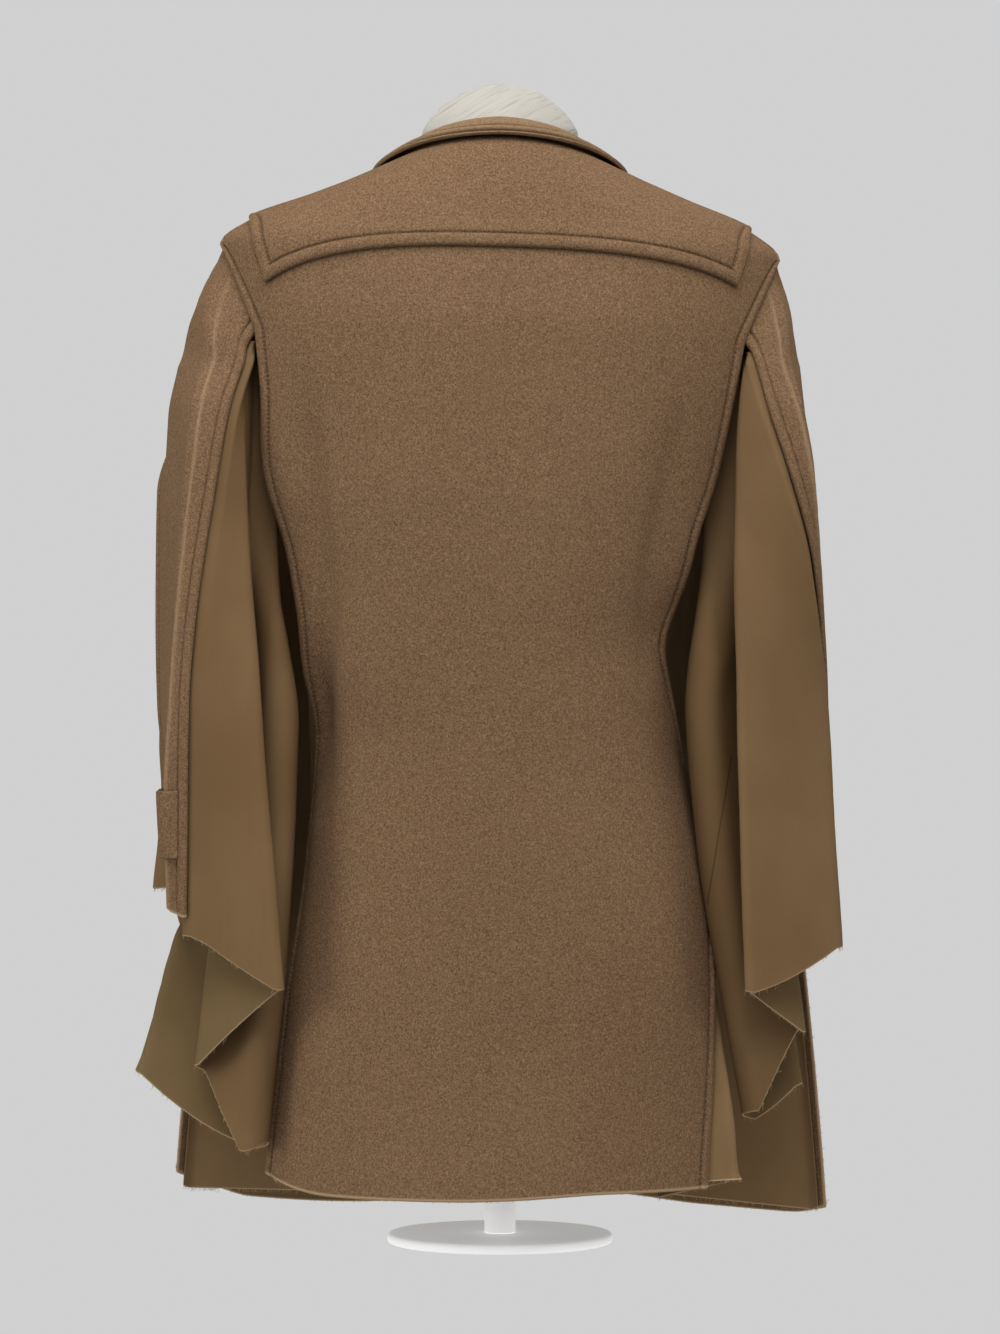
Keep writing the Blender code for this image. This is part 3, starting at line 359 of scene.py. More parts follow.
# Wool sleeves: the line of the section at each height, from the back edge by the crease and
# the outermost place to the front edge (x is measured outwards from the middle)
SLEEVE_COLUMNS = "level back_x back_y crease_x crease_y outer_x outer_y front_x front_y"
SLEEVE = {
    "left": Table(SLEEVE_COLUMNS, [
        (0.264, 0.2455, 0.080, 0.2590, 0.064, 0.2625, 0.010, 0.2620, -0.050),
        (0.360, 0.2445, 0.082, 0.2625, 0.066, 0.2650, 0.005, 0.2660, -0.050),
        (0.430, 0.2435, 0.084, 0.2590, 0.069, 0.2660, 0.000, 0.2740, -0.048),
        (0.500, 0.2380, 0.083, 0.2540, 0.069, 0.2640, 0.000, 0.2755, -0.045),
        (0.600, 0.2230, 0.078, 0.2465, 0.066, 0.2655, 0.000, 0.2740, -0.045),
        (0.660, 0.2130, 0.072, 0.2420, 0.060, 0.2635, -0.006, 0.2500, -0.060),
        (0.700, 0.2010, 0.064, 0.2320, 0.047, 0.2550, 0.000, 0.2080, -0.068),
    ]),
    "right": Table(SLEEVE_COLUMNS, [
        (0.264, 0.2620, 0.000, 0.2605, -0.020, 0.2525, -0.038, 0.2260, -0.052),
        (0.360, 0.2600, 0.006, 0.2595, -0.014, 0.2525, -0.036, 0.2300, -0.052),
        (0.450, 0.2565, 0.026, 0.2580, 0.000, 0.2535, -0.030, 0.2360, -0.053),
        (0.540, 0.2465, 0.060, 0.2510, 0.044, 0.2505, -0.020, 0.2400, -0.056),
        (0.615, 0.2265, 0.075, 0.2440, 0.061, 0.2485, -0.010, 0.2380, -0.060),
        (0.660, 0.2120, 0.072, 0.2375, 0.058, 0.2420, 0.000, 0.2290, -0.062),
        (0.700, 0.2010, 0.064, 0.2275, 0.047, 0.2375, 0.000, 0.2080, -0.068),
    ]),
}
SLEEVE_RADII = [0.0, 0.0035, 0.030, 0.0]
CUFF_RISE = {"left": 0.020, "right": 0.0}
SLEEVE_TOP = 0.700
SLEEVE_BOTTOM = 0.264
CAP_BOW = {"left": 0.0085, "right": 0.004}
CAP_FADE = 0.12
CAP_EDGE_BOW = 0.3
HEAD_GAP_TIP = 0.0014
HEAD_GAP_APEX = 0.0024
HEAD_SINK = 0.0012
ARMHOLE_SLOPE = (0.030, 0.060, 0.067)
ARMHOLE_LEVELS = [APEX_LEVEL, 0.745, 0.765, 0.780, TIP_LEVEL]

# Under-sleeves: each fold's line from the underarm to the hem. A bow over 1 keeps the line in
# until low down, "draw_x" moves it most a quarter of the way down and a pull at half height,
# "swell" pushes it out just below the cuff, and "sag" is how far the hem hangs below a straight
# line to the next fold. "turn" is measured from the wool's back edge and "hook" from its front
FOLD_COLUMNS = ("fold top_x top_y hem_x hem_y hem_z bow_x bow_y draw_x pull_x pull_y radius swell"
                " sag").split()
FOLDS = {
    "left": [
        ("turn", -0.006, 0.0, -0.012, 0.005, 0.244, 1.0, 1.0, 0.0, 0.0, 0.0, 0.004, 0.0, 0.001),
        ("one", 0.1985, 0.058, 0.1685, 0.112, 0.209, 1.3, 1.0, 0.005, 0.0, 0.0, 0.0045, 0.0,
         -0.003),
        ("two", 0.195, 0.040, 0.240, 0.064, 0.146, 1.6, 1.6, 0.0, 0.0, -0.034, 0.0055, 0.0, 0.009),
        ("three", 0.176, 0.018, 0.183, 0.072, 0.088, 1.0, 1.0, 0.0, -0.014, 0.016, 0.015, 0.0,
         0.013),
        ("four", 0.180, -0.020, 0.290, 0.016, 0.139, 2.0, 2.0, 0.0, 0.0, 0.0, 0.007, 0.0075, 0.004),
        ("inner", 0.185, -0.036, 0.240, -0.028, 0.190, 1.2, 1.2, 0.0, 0.0, 0.0, 0.006, 0.0, 0.0),
        ("hook", -0.013, 0.018, 0.018, -0.028, 0.280, 1.8, 0.35, 0.0, 0.0, 0.0, 0.007, 0.0, 0.0),
    ],
    "right": [
        ("turn", -0.006, 0.0, 0.008, 0.065, 0.240, 1.2, 1.2, 0.0, 0.0, 0.0, 0.010, 0.0, 0.005),
        ("one", 0.196, 0.061, 0.1915, 0.110, 0.208, 1.0, 1.0, -0.0095, 0.0, 0.0, 0.0045, 0.0, 0.0),
        ("two", 0.190, 0.040, 0.240, 0.066, 0.173, 1.4, 1.4, 0.0, 0.0, -0.042, 0.0055, 0.0, -0.004),
        ("three", 0.172, 0.026, 0.1915, 0.050, 0.107, 2.0, 2.0, -0.012, -0.014, 0.026, 0.015, 0.0,
         0.006),
        ("four", 0.180, -0.020, 0.240, 0.028, 0.130, 1.6, 1.6, 0.0, 0.0, 0.0, 0.007, 0.0, 0.004),
        ("inner", 0.183, -0.035, 0.218, -0.008, 0.190, 1.2, 1.2, 0.0, 0.0, 0.0, 0.006, 0.0, 0.0),
        ("hook", -0.016, 0.018, -0.013, 0.007, 0.220, 1.2, 1.2, 0.0, 0.0, 0.0, 0.007, 0.0, 0.0),
    ],
}
PULL_FROM = 0.22
PULL_FULL = 0.47
SWELL_FROM = 0.74
SWELL_FULL = 0.81
BELL_EDGE_HEM = {"left": (0.249, 0.282), "right": (0.246, 0.250)}
CROWN_PARTS = {"turn": 0.06, "one": 0.12, "two": 0.26, "three": 0.44, "four": 0.66, "inner": 0.80,
               "hook": 0.92}

# Side godets: an outer fold near the back's edge and an inner one deep in the side
GODET_COLUMNS = "level outer_x outer_y inner_x inner_y"
GODET = {
    "left": Table(GODET_COLUMNS, [
        (0.050, 0.178, 0.020, 0.130, -0.080),
        (0.120, 0.171, 0.018, 0.140, -0.085),
        (0.250, 0.162, 0.004, 0.152, -0.090),
        (0.350, 0.152, -0.014, 0.154, -0.080),
        (0.470, 0.153, 0.026, 0.154, -0.060),
        (0.550, 0.163, 0.030, 0.158, -0.050),
        (0.660, 0.170, 0.030, 0.162, -0.035),
    ]),
    "right": Table(GODET_COLUMNS, [
        (0.050, 0.189, 0.074, 0.130, -0.070),
        (0.120, 0.181, 0.063, 0.138, -0.080),
        (0.200, 0.171, 0.038, 0.145, -0.090),
        (0.250, 0.167, 0.020, 0.150, -0.090),
        (0.350, 0.153, -0.014, 0.152, -0.080),
        (0.470, 0.130, 0.008, 0.148, -0.060),
        (0.550, 0.143, 0.012, 0.156, -0.050),
        (0.660, 0.158, 0.018, 0.162, -0.035),
    ]),
}
GODET_RADII = [0.0, 0.003, 0.005, 0.015, 0.004, 0.0]
GODET_HEM = {"left": [0.064, 0.062, 0.050, 0.032, 0.034, 0.036],
             "right": [0.056, 0.056, 0.058, 0.030, 0.016, 0.018]}

# The seam down the right under-sleeve's third fold, at a height
SEAM_LINE = Table("level x", [(0.279, 0.1650), (0.328, 0.1720), (0.386, 0.1825)])

# Dress form below its shoulders, and where its shoulder ridge is seated under the coat
FORM = Table("level half back front", [
    (0.200, 0.132, 0.096, 0.094),
    (0.290, 0.139, 0.104, 0.099),
    (0.380, 0.121, 0.094, 0.092),
    (0.470, 0.108, 0.086, 0.089),
    (0.560, 0.122, 0.092, 0.100),
    (0.640, 0.137, 0.098, 0.112),
    (0.700, 0.150, 0.099, 0.108),
    (0.740, 0.163, 0.096, 0.097),
    (0.765, 0.169, 0.091, 0.078),
    (0.785, 0.172, 0.086, 0.062),
])
FORM_SEAT = Table("half back front", [
    (0.122, 0.066, 0.042), (0.138, 0.070, 0.045), (0.155, 0.074, 0.048), (0.168, 0.079, 0.053)])
NECK_ROWS = Table("level half back front", [
    (0.8395, 0.0960, 0.060, 0.0430), (0.8430, 0.0790, 0.058, 0.0440),
    (0.8490, 0.0680, 0.057, 0.0480), (0.8590, 0.0625, 0.056, 0.0530),
    (0.8720, 0.0618, 0.0575, 0.0590)])

# Soft creases: a ridge (depth over 0) or trough between two places on a piece. "a" is metres
# across from the middle (or from the back edge of a sleeve) and "z" is the height
CREASE_COLUMNS = "a_from z_from a_to z_to width depth".split()
CREASE_TAPER = 1.5
CREASES = {
    "back": [
        (0.160, 0.720, 0.135, 0.470, 0.012, -0.0080),
        (0.135, 0.580, 0.144, 0.330, 0.011, -0.0100),
        (0.120, 0.420, 0.138, 0.180, 0.022, 0.0020),
        (-0.140, 0.680, -0.119, 0.500, 0.012, -0.0055),
        (-0.121, 0.600, -0.112, 0.430, 0.010, -0.0060),
        (-0.118, 0.450, -0.135, 0.280, 0.020, -0.0022),
        (-0.100, 0.380, -0.150, 0.120, 0.026, 0.0016),
        (0.060, 0.330, 0.085, 0.080, 0.030, 0.0014),
        (-0.030, 0.300, -0.045, 0.070, 0.034, -0.0014),
        (0.020, 0.760, 0.050, 0.600, 0.040, 0.0012),
        (-0.070, 0.750, -0.090, 0.600, 0.036, -0.0010),
    ],
    "front_left": [
        (0.150, 0.660, 0.090, 0.500, 0.022, -0.0024),
        (0.110, 0.420, 0.150, 0.120, 0.028, 0.0020),
        (0.190, 0.380, 0.215, 0.080, 0.024, -0.0022),
    ],
    "front_right": [
        (-0.145, 0.640, -0.085, 0.510, 0.022, -0.0024),
        (-0.115, 0.400, -0.160, 0.100, 0.030, 0.0020),
        (-0.195, 0.360, -0.225, 0.070, 0.024, -0.0022),
    ],
    "sleeve_left": [
        (0.018, 0.690, 0.026, 0.560, 0.007, 0.0012),
        (0.060, 0.640, 0.075, 0.500, 0.014, -0.0020),
        (0.090, 0.560, 0.080, 0.420, 0.012, 0.0014),
        (0.020, 0.480, 0.016, 0.330, 0.008, -0.0010),
    ],
    "sleeve_right": [
        (0.025, 0.690, 0.030, 0.560, 0.008, 0.0012),
        (0.060, 0.650, 0.072, 0.500, 0.014, -0.0018),
        (0.080, 0.480, 0.070, 0.330, 0.012, 0.0012),
    ],
}


# Body surface

def power(value, exponent):
    return np.copysign(np.abs(value) ** exponent, value)


def lean(level):
    """How much the coat rises towards the wearer's left at a level."""
    full = LEAN * ease((level - LEAN_FROM) / (LEAN_FULL - LEAN_FROM))
    part = np.maximum(0.0, (level - TIP_LEVEL) / (NECK_LEVEL - TIP_LEVEL))
    return full * mix(1.0, LEAN_AT_NECK, part)


def body(bearing, level):
    """Points of the coat's inner face. Bearing 0 is the left side, 90 the centre back."""
    bearing, level = np.broadcast_arrays(np.asarray(bearing, float), np.asarray(level, float))
    turn = np.radians(bearing)
    along, across = np.cos(turn), np.sin(turn)
    exponent = 2.0 / SQUARENESS
    behind = across >= 0.0
    side = np.where(along >= 0.0, BODY.at("left", level), BODY.at("right", level))
    half = np.where(behind, side, BODY.at("front_half", level))
    depth = np.where(behind, BODY.at("back", level), BODY.at("front", level))
    back_rise = BACK_RISE * ease((level - BACK_RISE_FROM) / (NECK_LEVEL - BACK_RISE_FROM))
    front_drop = FRONT_DROP * ease((level - FRONT_DROP_FROM) / (NECK_LEVEL - FRONT_DROP_FROM))
    rise = np.where(behind, back_rise, -front_drop)
    x = half * power(along, exponent)
    y = depth * power(across, exponent)
    return np.stack([x, y, level + rise * across * across + lean(level) * x], axis=-1)


def body_out(bearing, level, distance):
    """Points moved out from the coat's inner face."""
    turn = np.radians(np.asarray(bearing, float))
    step = np.where(np.sin(turn) * np.cos(turn) >= 0.0, 1.0, -1.0)
    here = body(bearing, level)
    around = (body(bearing + step, level) - here) * step[..., None]
    down = body(bearing, np.asarray(level, float) - PROBE_DOWN) - here
    return here + unit(np.cross(down, around)) * np.asarray(distance, float)[..., None]


def bearing_at_half(half, x):
    """Degrees from the side at which a section of this half-width is x wide."""
    return np.degrees(np.arccos(np.minimum(1.0, x / half) ** (SQUARENESS / 2.0)))


def armhole_bearing(column, level):
    """Degrees from the side along the armhole, from its lowest point up to the shoulder tip."""
    tip = BODY.at(column, np.array(TIP_LEVEL))
    part = np.clip((level - APEX_LEVEL) / (TIP_LEVEL - APEX_LEVEL), 0.0, 1.0)
    x = mix(APEX_HALF, tip, part)
    return np.maximum(RIDGE_DEGREES, bearing_at_half(BODY.at(column, level), x))


def side_bearing(column, edge, level):
    """Degrees from the side at which a panel ends: its side edge, armhole or shoulder seam."""
    low = np.where(level >= APEX_LEVEL, armhole_bearing(column, level), SIDE_EDGE.at(edge, level))
    return np.where(level >= TIP_LEVEL, RIDGE_DEGREES, low)


def panel_level(up, hem):
    """The level on a panel, from its own hem (0) to the neck (1)."""
    level = mix(HEM_LEVEL, NECK_LEVEL, up)
    return level + (hem - HEM_LEVEL) * np.clip(1.0 - (level - HEM_LEVEL) / HEM_RUN, 0.0, 1.0)


# Grids and shells

def lengths_along(grid):
    """How far each point is along its row."""
    steps = np.linalg.norm(np.diff(grid, axis=1), axis=2)
    return np.concatenate([np.zeros((len(grid), 1)), np.cumsum(steps, axis=1)], axis=1)


def spread(total, first, last, count):
    """Lengths along a line: the given steps in from each end, and even ones between."""
    shrink = min(1.0, STEP_ROOM * total / max(first[-1], last[-1]))
    start = first * shrink
    end = total - last[::-1] * shrink
    middle = np.linspace(start[-1], end[0], count + 2)[1:-1]
    return np.concatenate([start, middle, end])


def respace(grid, first, last, count):
    """The same surface with its rows' points placed anew."""
    lengths = lengths_along(grid)
    rows = []
    for points, length in zip(grid, lengths):
        wanted = spread(length[-1], first, last, count)
        rows.append(np.stack([np.interp(wanted, length, points[:, i]) for i in range(3)], axis=1))
    return np.array(rows)


def turned(grid):
    return np.swapaxes(grid, 0, 1)


def smooth_grid(name, dense, edges, steps=STITCHED_STEPS):
    """A piece's grid from a dense one. "edges" names its stitched edges."""
    start, end, first, last = [steps if edge in edges else RAW_STEPS
                               for edge in ("start", "end", "first", "last")]
    across, up = SHELL_POINTS[name.removesuffix("_left").removesuffix("_right")]
    grid = respace(dense, start, end, across)
    return turned(respace(turned(grid), first, last, up))


def grid_normal(grid):
    return unit(np.cross(np.gradient(grid, axis=1), np.gradient(grid, axis=0)))


def edge_marks(grid, edges, raw):
    """Marks of each point: "rim" and "seam" are its distances to the nearest raw edge and the
    nearest stitched edge, "run" is how far along that stitched edge it is, "along" and "up" are
    its place on the flat cloth, and "faced" is true where the reverse's own cloth lies."""
    along = lengths_along(grid)
    up = turned(lengths_along(turned(grid)))
    distances = {"start": along, "end": along[:, -1:] - along, "first": up, "last": up[-1:] - up}
    runs = {"start": up, "end": up, "first": along, "last": along}
    rim = np.full(along.shape, 1.0)
    for name in raw:
        rim = np.minimum(rim, distances[name])
    seam = np.full(along.shape, 1.0)
    run = np.zeros(along.shape)
    for name in edges:
        nearer = distances[name] < seam
        seam = np.where(nearer, distances[name], seam)
        run = np.where(nearer, runs[name], run)
    return {"rim": rim, "seam": seam, "run": run, "ridge": np.zeros(along.shape), "along": along,
            "up": up, "faced": seam > REVERSE_FROM}


def welt(seam):
    """The relief of a stitched edge: a puff out to the stitch line and a groove along it."""
    part = np.clip(seam / STITCH_IN, 0.0, 1.0)
    puff = PUFF * np.sin(math.pi * part) ** PUFF_ROUND
    groove = GROOVE_DEEP * np.exp(-((seam - STITCH_IN) / GROOVE_WIDE) ** 2)
    return puff - groove


def collar_ridges(edge):
    """The relief of the collar's two stitched ridges, and each point's distance past the nearer
    stitch line."""
    low, high = COLLAR_LINES
    part = np.where(edge < low, edge / low, np.clip((edge - low) / (high - low), 0.0, 1.0))
    puff = COLLAR_PUFF * np.abs(np.sin(math.pi * part)) ** PUFF_ROUND
    past = np.minimum(np.abs(edge - low), np.abs(edge - high))
    groove = COLLAR_GROOVE_DEEP * np.exp(-(past / COLLAR_GROOVE_WIDE) ** 2)
    return puff - groove, past


def creases(name, across, height):
    """The relief of a piece's soft creases."""
    relief = np.zeros(across.shape)
    for row in CREASES.get(name, []):
        fold = dict(zip(CREASE_COLUMNS, row))
        start = np.array([fold["a_from"], fold["z_from"]])
        way = np.array([fold["a_to"], fold["z_to"]]) - start
        length = math.hypot(*way)
        way /= length
        ahead = (across - start[0]) * way[0] + (height - start[1]) * way[1]
        aside = (across - start[0]) * way[1] - (height - start[1]) * way[0]
        taper = np.sin(math.pi * np.clip(ahead / length, 0.0, 1.0)) ** CREASE_TAPER
        relief += fold["depth"] * taper * np.exp(-(aside / fold["width"]) ** 2)
    return relief


def ripples(seed, across, height):
    """Slow, uneven waves of cloth, the same on every run."""
    random = np.random.default_rng(seed)
    relief = np.zeros(across.shape)
    for _ in range(RIPPLE_WAVES):
        turn = random.uniform(-RIPPLE_TILT, RIPPLE_TILT)
        pitch = random.uniform(*RIPPLE_PITCH)
        start = random.uniform(0.0, 2.0 * math.pi)
        wave = (across * math.cos(turn) + height * math.sin(turn)) * 2.0 * math.pi / pitch
        relief += np.sin(wave + start) * random.uniform(*RIPPLE_SWING)
    return RIPPLE_DEPTH * relief


def perimeter(rows, columns):
    """Flat indexes round a grid, and for each the index one step in from the edge."""
    index = np.arange(rows * columns).reshape(rows, columns)
    ring = np.concatenate([index[0, :-1], index[:-1, -1], index[-1, :0:-1], index[:0:-1, 0]])
    row, column = ring // columns, ring % columns
    inside = index[np.clip(row, 1, rows - 2), np.clip(column, 1, columns - 2)]
    return ring, inside


def shell(name, grid, sign, low, high, marks, materials):
    """A closed cloth shell between two offsets from a grid, with a rounded cut edge. "sign" is
    the way its face looks; materials are its face's and its reverse's."""
    rows, columns = grid.shape[:2]
    count = rows * columns
    normal = (grid_normal(grid) * sign).reshape(-1, 3)
    places = grid.reshape(-1, 3)
    outer = places + normal * np.broadcast_to(high, (rows, columns)).reshape(-1, 1)
    inner = places + normal * np.broadcast_to(low, (rows, columns)).reshape(-1, 1)
    ring, inside = perimeter(rows, columns)
    middle = 0.5 * (outer + inner)
    wall = np.linalg.norm(outer[ring] - inner[ring], axis=1, keepdims=True)
    edge = middle[ring] + unit(middle[ring] - middle[inside]) * EDGE_ROUND * wall
    vertices = np.concatenate([outer, inner, edge])

    cell = (np.arange(rows - 1)[:, None] * columns + np.arange(columns - 1)[None, :]).ravel()
    face = np.stack([cell, cell + 1, cell + columns + 1, cell + columns], axis=1)
    back = face[:, ::-1] + count
    following = np.roll(ring, -1)
    spot = 2 * count + np.arange(len(ring))
    next_spot = np.roll(spot, -1)
    upper = np.stack([following, ring, spot, next_spot], axis=1)
    lower = np.stack([next_spot, spot, ring + count, following + count], axis=1)
    quads = np.concatenate([face, back, upper, lower])
    if sign < 0.0:
        quads = quads[:, ::-1]
    slots = np.zeros(len(quads), np.int32)
    slots[len(face):2 * len(face)] = marks["faced"].reshape(-1)[cell]

    mesh = quad_mesh("cloth_" + name, vertices, quads, slots)
    for key in ("rim", "seam", "run", "ridge"):
        values = marks[key].reshape(-1)
        at_edge = values[ring] - RIM_OUT if key == "rim" else values[ring]
        add_mark(mesh, key, np.concatenate([values, values, at_edge]))
    flat = np.stack([marks["along"].reshape(-1), marks["up"].reshape(-1)], axis=1)
    add_map(mesh, np.concatenate([flat, flat, flat[ring]]))
    return add_thing(mesh, *materials)


def add_thing(data, *materials):
    """An object of a mesh, a lamp or a camera, by its name."""
    for material in materials:
        data.materials.append(material)
    thing = bpy.data.objects.new(data.name, data)
    bpy.context.scene.collection.objects.link(thing)
    return thing


def quad_mesh(name, vertices, quads, slots=None):
    """A smooth-shaded mesh of four-sided faces."""
    mesh = bpy.data.meshes.new(name)
    mesh.vertices.add(len(vertices))
    mesh.vertices.foreach_set("co", np.asarray(vertices, np.float32).ravel())
    mesh.loops.add(4 * len(quads))
    mesh.loops.foreach_set("vertex_index", np.asarray(quads, np.int32).ravel())
    mesh.polygons.add(len(quads))
    mesh.polygons.foreach_set("loop_start", np.arange(0, 4 * len(quads), 4, dtype=np.int32))
    mesh.polygons.foreach_set("use_smooth", np.ones(len(quads), bool))
    if slots is not None:
        mesh.polygons.foreach_set("material_index", slots)
    mesh.update(calc_edges=True)
    mesh.validate()
    return mesh


def add_mark(mesh, name, values):
    mark = mesh.attributes.new(name, "FLOAT", "POINT")
    mark.data.foreach_set("value", np.asarray(values, np.float32))


def add_map(mesh, flat):
    """The cloth's own flat coordinates, in metres, as the mesh's UV map."""
    corner = np.empty(len(mesh.loops), np.int32)
    mesh.loops.foreach_get("vertex_index", corner)
    layer = mesh.uv_layers.new(name="cloth")
    layer.data.foreach_set("uv", np.asarray(flat[corner], np.float32).ravel())


# Folded sections

def belt_path(stations, radii):
    """A fine line through (x, y, z) stations, round each one on an arc of its radius. Returns
    its points and, for each station, the number of the point at the middle of its arc."""
    places = [Vector(station[:2]) for station in stations]
    last = len(places) - 1
    centres = [place.copy() for place in places]
    pulls = [0.0] * len(places)
    for i in range(1, last):
        back = places[i - 1] - places[i]
        ahead = places[i + 1] - places[i]
        radius = min(radii[i], ROUND_ROOM * min(back.length, ahead.length))
        inward = back.normalized() + ahead.normalized()
        if inward.length > 1e-6:
            centres[i] = places[i] + inward.normalized() * radius
            pulls[i] = -radius if back.cross(ahead) > 0.0 else radius
    leave = list(centres)
    arrive = list(centres)
    for i in range(last):
        span = centres[i + 1] - centres[i]
        tilt = math.asin(max(-1.0, min(1.0, (pulls[i + 1] - pulls[i]) / span.length)))
        heading = math.atan2(span.y, span.x) - tilt
        normal = Vector((-math.sin(heading), math.cos(heading)))
        leave[i] = centres[i] - normal * pulls[i]
        arrive[i + 1] = centres[i + 1] - normal * pulls[i + 1]
    points = []
    middles = []
    for i, station in enumerate(stations):
        middles.append(len(points) + ARC_STEPS // 2)
        for step in range(ARC_STEPS + 1):
            spot = arc_point(centres[i], arrive[i], leave[i], pulls[i], step / ARC_STEPS)
            points.append((spot.x, spot.y, station[2]))
    middles[0] = 0
    middles[-1] = len(points) - 1
    return np.array(points), middles


def arc_point(centre, start, end, pull, part):
    """A point on the arc from start to end, anticlockwise where pull is over 0."""
    first, second = start - centre, end - centre
    if abs(pull) < 1e-7:
        return start.lerp(end, part)
    turn = math.copysign(1.0, pull)
    sweep = (math.atan2(second.y, second.x) - math.atan2(first.y, first.x)) * turn
    sweep %= 2.0 * math.pi
    if sweep > LARGEST_SWEEP:
        sweep -= 2.0 * math.pi
    angle = sweep * turn * part
    return centre + Vector((first.x * math.cos(angle) - first.y * math.sin(angle),
                            first.x * math.sin(angle) + first.y * math.cos(angle)))


def belt(stations, radii, line_points, fine, sags=()):
    """Points along the line through the stations: some round each station's arc and some on
    each straight stretch, each gap between them cut into "fine" steps. "sags" is how far each
    stretch hangs at its middle."""
    path, middles = belt_path(stations, radii)
    steps = np.linalg.norm(np.diff(path[:, :2], axis=0), axis=1)
    lengths = np.concatenate([[0.0], np.cumsum(steps)])
    centres = [lengths[i] for i in middles]
    wanted = [0.0]
    edge = 0.0
    for i in range(1, len(stations)):
        reach = 0.0
        if i < len(stations) - 1:
            half = ARC_STEPS // 2
            arc_length = lengths[middles[i] + half] - lengths[middles[i] - half]
            room = min(centres[i] - centres[i - 1], centres[i + 1] - centres[i])
            reach = min(max(0.5 * arc_length, ARC_REACH), STEP_ROOM * room)
        for step in range(1, line_points + 1):
            wanted.append(mix(edge, centres[i] - reach, step / (line_points + 1)))
        if reach > 0.0:
            for step in range(ARC_POINTS):
                wanted.append(mix(centres[i] - reach, centres[i] + reach, step / (ARC_POINTS - 1)))
        edge = centres[i] + reach
    wanted.append(lengths[-1])
    count = len(wanted)
    wanted = np.interp(np.linspace(0, count - 1, (count - 1) * fine + 1), np.arange(count), wanted)
    points = np.stack([np.interp(wanted, lengths, path[:, i]) for i in range(3)], axis=1)
    for i, sag in enumerate(sags):
        part = np.clip((wanted - centres[i]) / (centres[i + 1] - centres[i]), 0.0, 1.0)
        points[:, 2] -= sag * 4.0 * part * (1.0 - part)
    return points


def mirrored(grid, side):
    """A grid worked out for the wearer's left, moved to the named side."""
    if side == "left":
        return grid
    return grid * np.array([-1.0, 1.0, 1.0])


# Piece grids

def even_grid(name, last_row=1.0):
    """Places across (0 to 1) and up a panel."""
    across, up = DENSE[name]
    return np.meshgrid(np.linspace(0.0, 1.0, across), np.linspace(0.0, last_row, up))


def back_grid():
    across, up = even_grid("back")
    level = panel_level(up, BACK_HEM.at("level", across))
    start = side_bearing("left", "back_left", level)
    end = 180.0 - side_bearing("right", "back_right", level)
    return body(mix(start, end, across), level)


def front_grid(side):
    across, up = even_grid("front")
    level = panel_level(up, FRONT_HEM[side].at("level", across))
    past = 90.0 - bearing_at_half(BODY.at("front_half", level), OVERLAP_HALF)
    turn = mix(side_bearing("front_half", "front", level), 90.0 + past, across)
    if side == "left":
        return body(-turn, level)
    x = body(180.0 + turn, level)[..., 0]
    lift = (WOOL + LAY_GAP) * ease((x + OVERLAP_HALF + OVERLAP_RUN) / OVERLAP_RUN)
    return body_out(180.0 + turn, level, lift)


def yoke_grid():
    across, row = even_grid("back_yoke", len(YOKE_ROWS.rows) - 1)
    side_level, middle_level = YOKE_ROWS.at("side", row), YOKE_ROWS.at("middle", row)
    rise = np.maximum(0.0, 1.0 - row / YOKE_SIDE_ROWS) * (across > 0.5)
    side_level = side_level + YOKE_RIGHT_RISE * rise
    level = mix(middle_level, side_level, np.abs(2.0 * across - 1.0) ** YOKE_CURVE)
    half = YOKE_SIDE_HALF.at("half", side_level)
    at_side = bearing_at_half(BODY.at("left", side_level), half)
    edge = mix(at_side, RIDGE_DEGREES, ease(row - YOKE_SIDE_ROWS + 1))
    return body_out(mix(edge, 180.0 - edge, across), level, np.full(level.shape, YOKE_LIFT))


def collar_grid():
    rows = []
    around, over = DENSE["collar"]
    parts = np.linspace(0.0, 1.0, LEAF_POINTS)[1:, None]
    up = np.array([0.0, 0.0, 1.0])
    for bearing in np.linspace(-COLLAR_END, 180.0 + COLLAR_END, around):
        from_side = bearing if bearing <= 90.0 else 180.0 - bearing
        rise = COLLAR.at("fold_rise", from_side)
        neck = body(bearing, NECK_LEVEL)
        ahead = body(bearing + 1.0, NECK_LEVEL) - body(bearing - 1.0, NECK_LEVEL)
        out = unit(np.array([ahead[1], -ahead[0], 0.0]))
        leaf_level = COLLAR.at("leaf_level", from_side)
        edge = body_out(np.array(bearing), leaf_level, COLLAR.at("leaf_lift", from_side))
        fold = neck + out * FOLD_OUT + up * rise
        knee = neck + out * COLLAR.at("knee_out", from_side) + up * (rise + KNEE_RISE)
        stand = neck - out * STAND_INSET
        corners = np.array([stand - up * STAND_DROP, stand + up * rise * 0.5,
                            stand + out * STAND_LEAN + up * (rise - STAND_ROUND), fold])
        leaf = fold * (1.0 - parts) ** 2 + knee * 2.0 * parts * (1.0 - parts) + edge * parts ** 2
        line = np.concatenate([corners, leaf])
        length = lengths_along(line[None])[0]
        wanted = np.linspace(0.0, length[-1], over)
        rows.append(np.stack([smooth_value(length, line[:, i], wanted) for i in range(3)], axis=1))
    return np.array(rows)


def sleeve_line(side, level, fine):
    """The wool sleeve's inner line at a height, worked out as if on the left."""
    table = SLEEVE[side]
    stations = []
    for place in ("back", "crease", "outer", "front"):
        x, y = table.at(place + "_x", level), table.at(place + "_y", level)
        stations.append((float(x), float(y), float(level)))
    return belt(stations, SLEEVE_RADII, 2, fine)


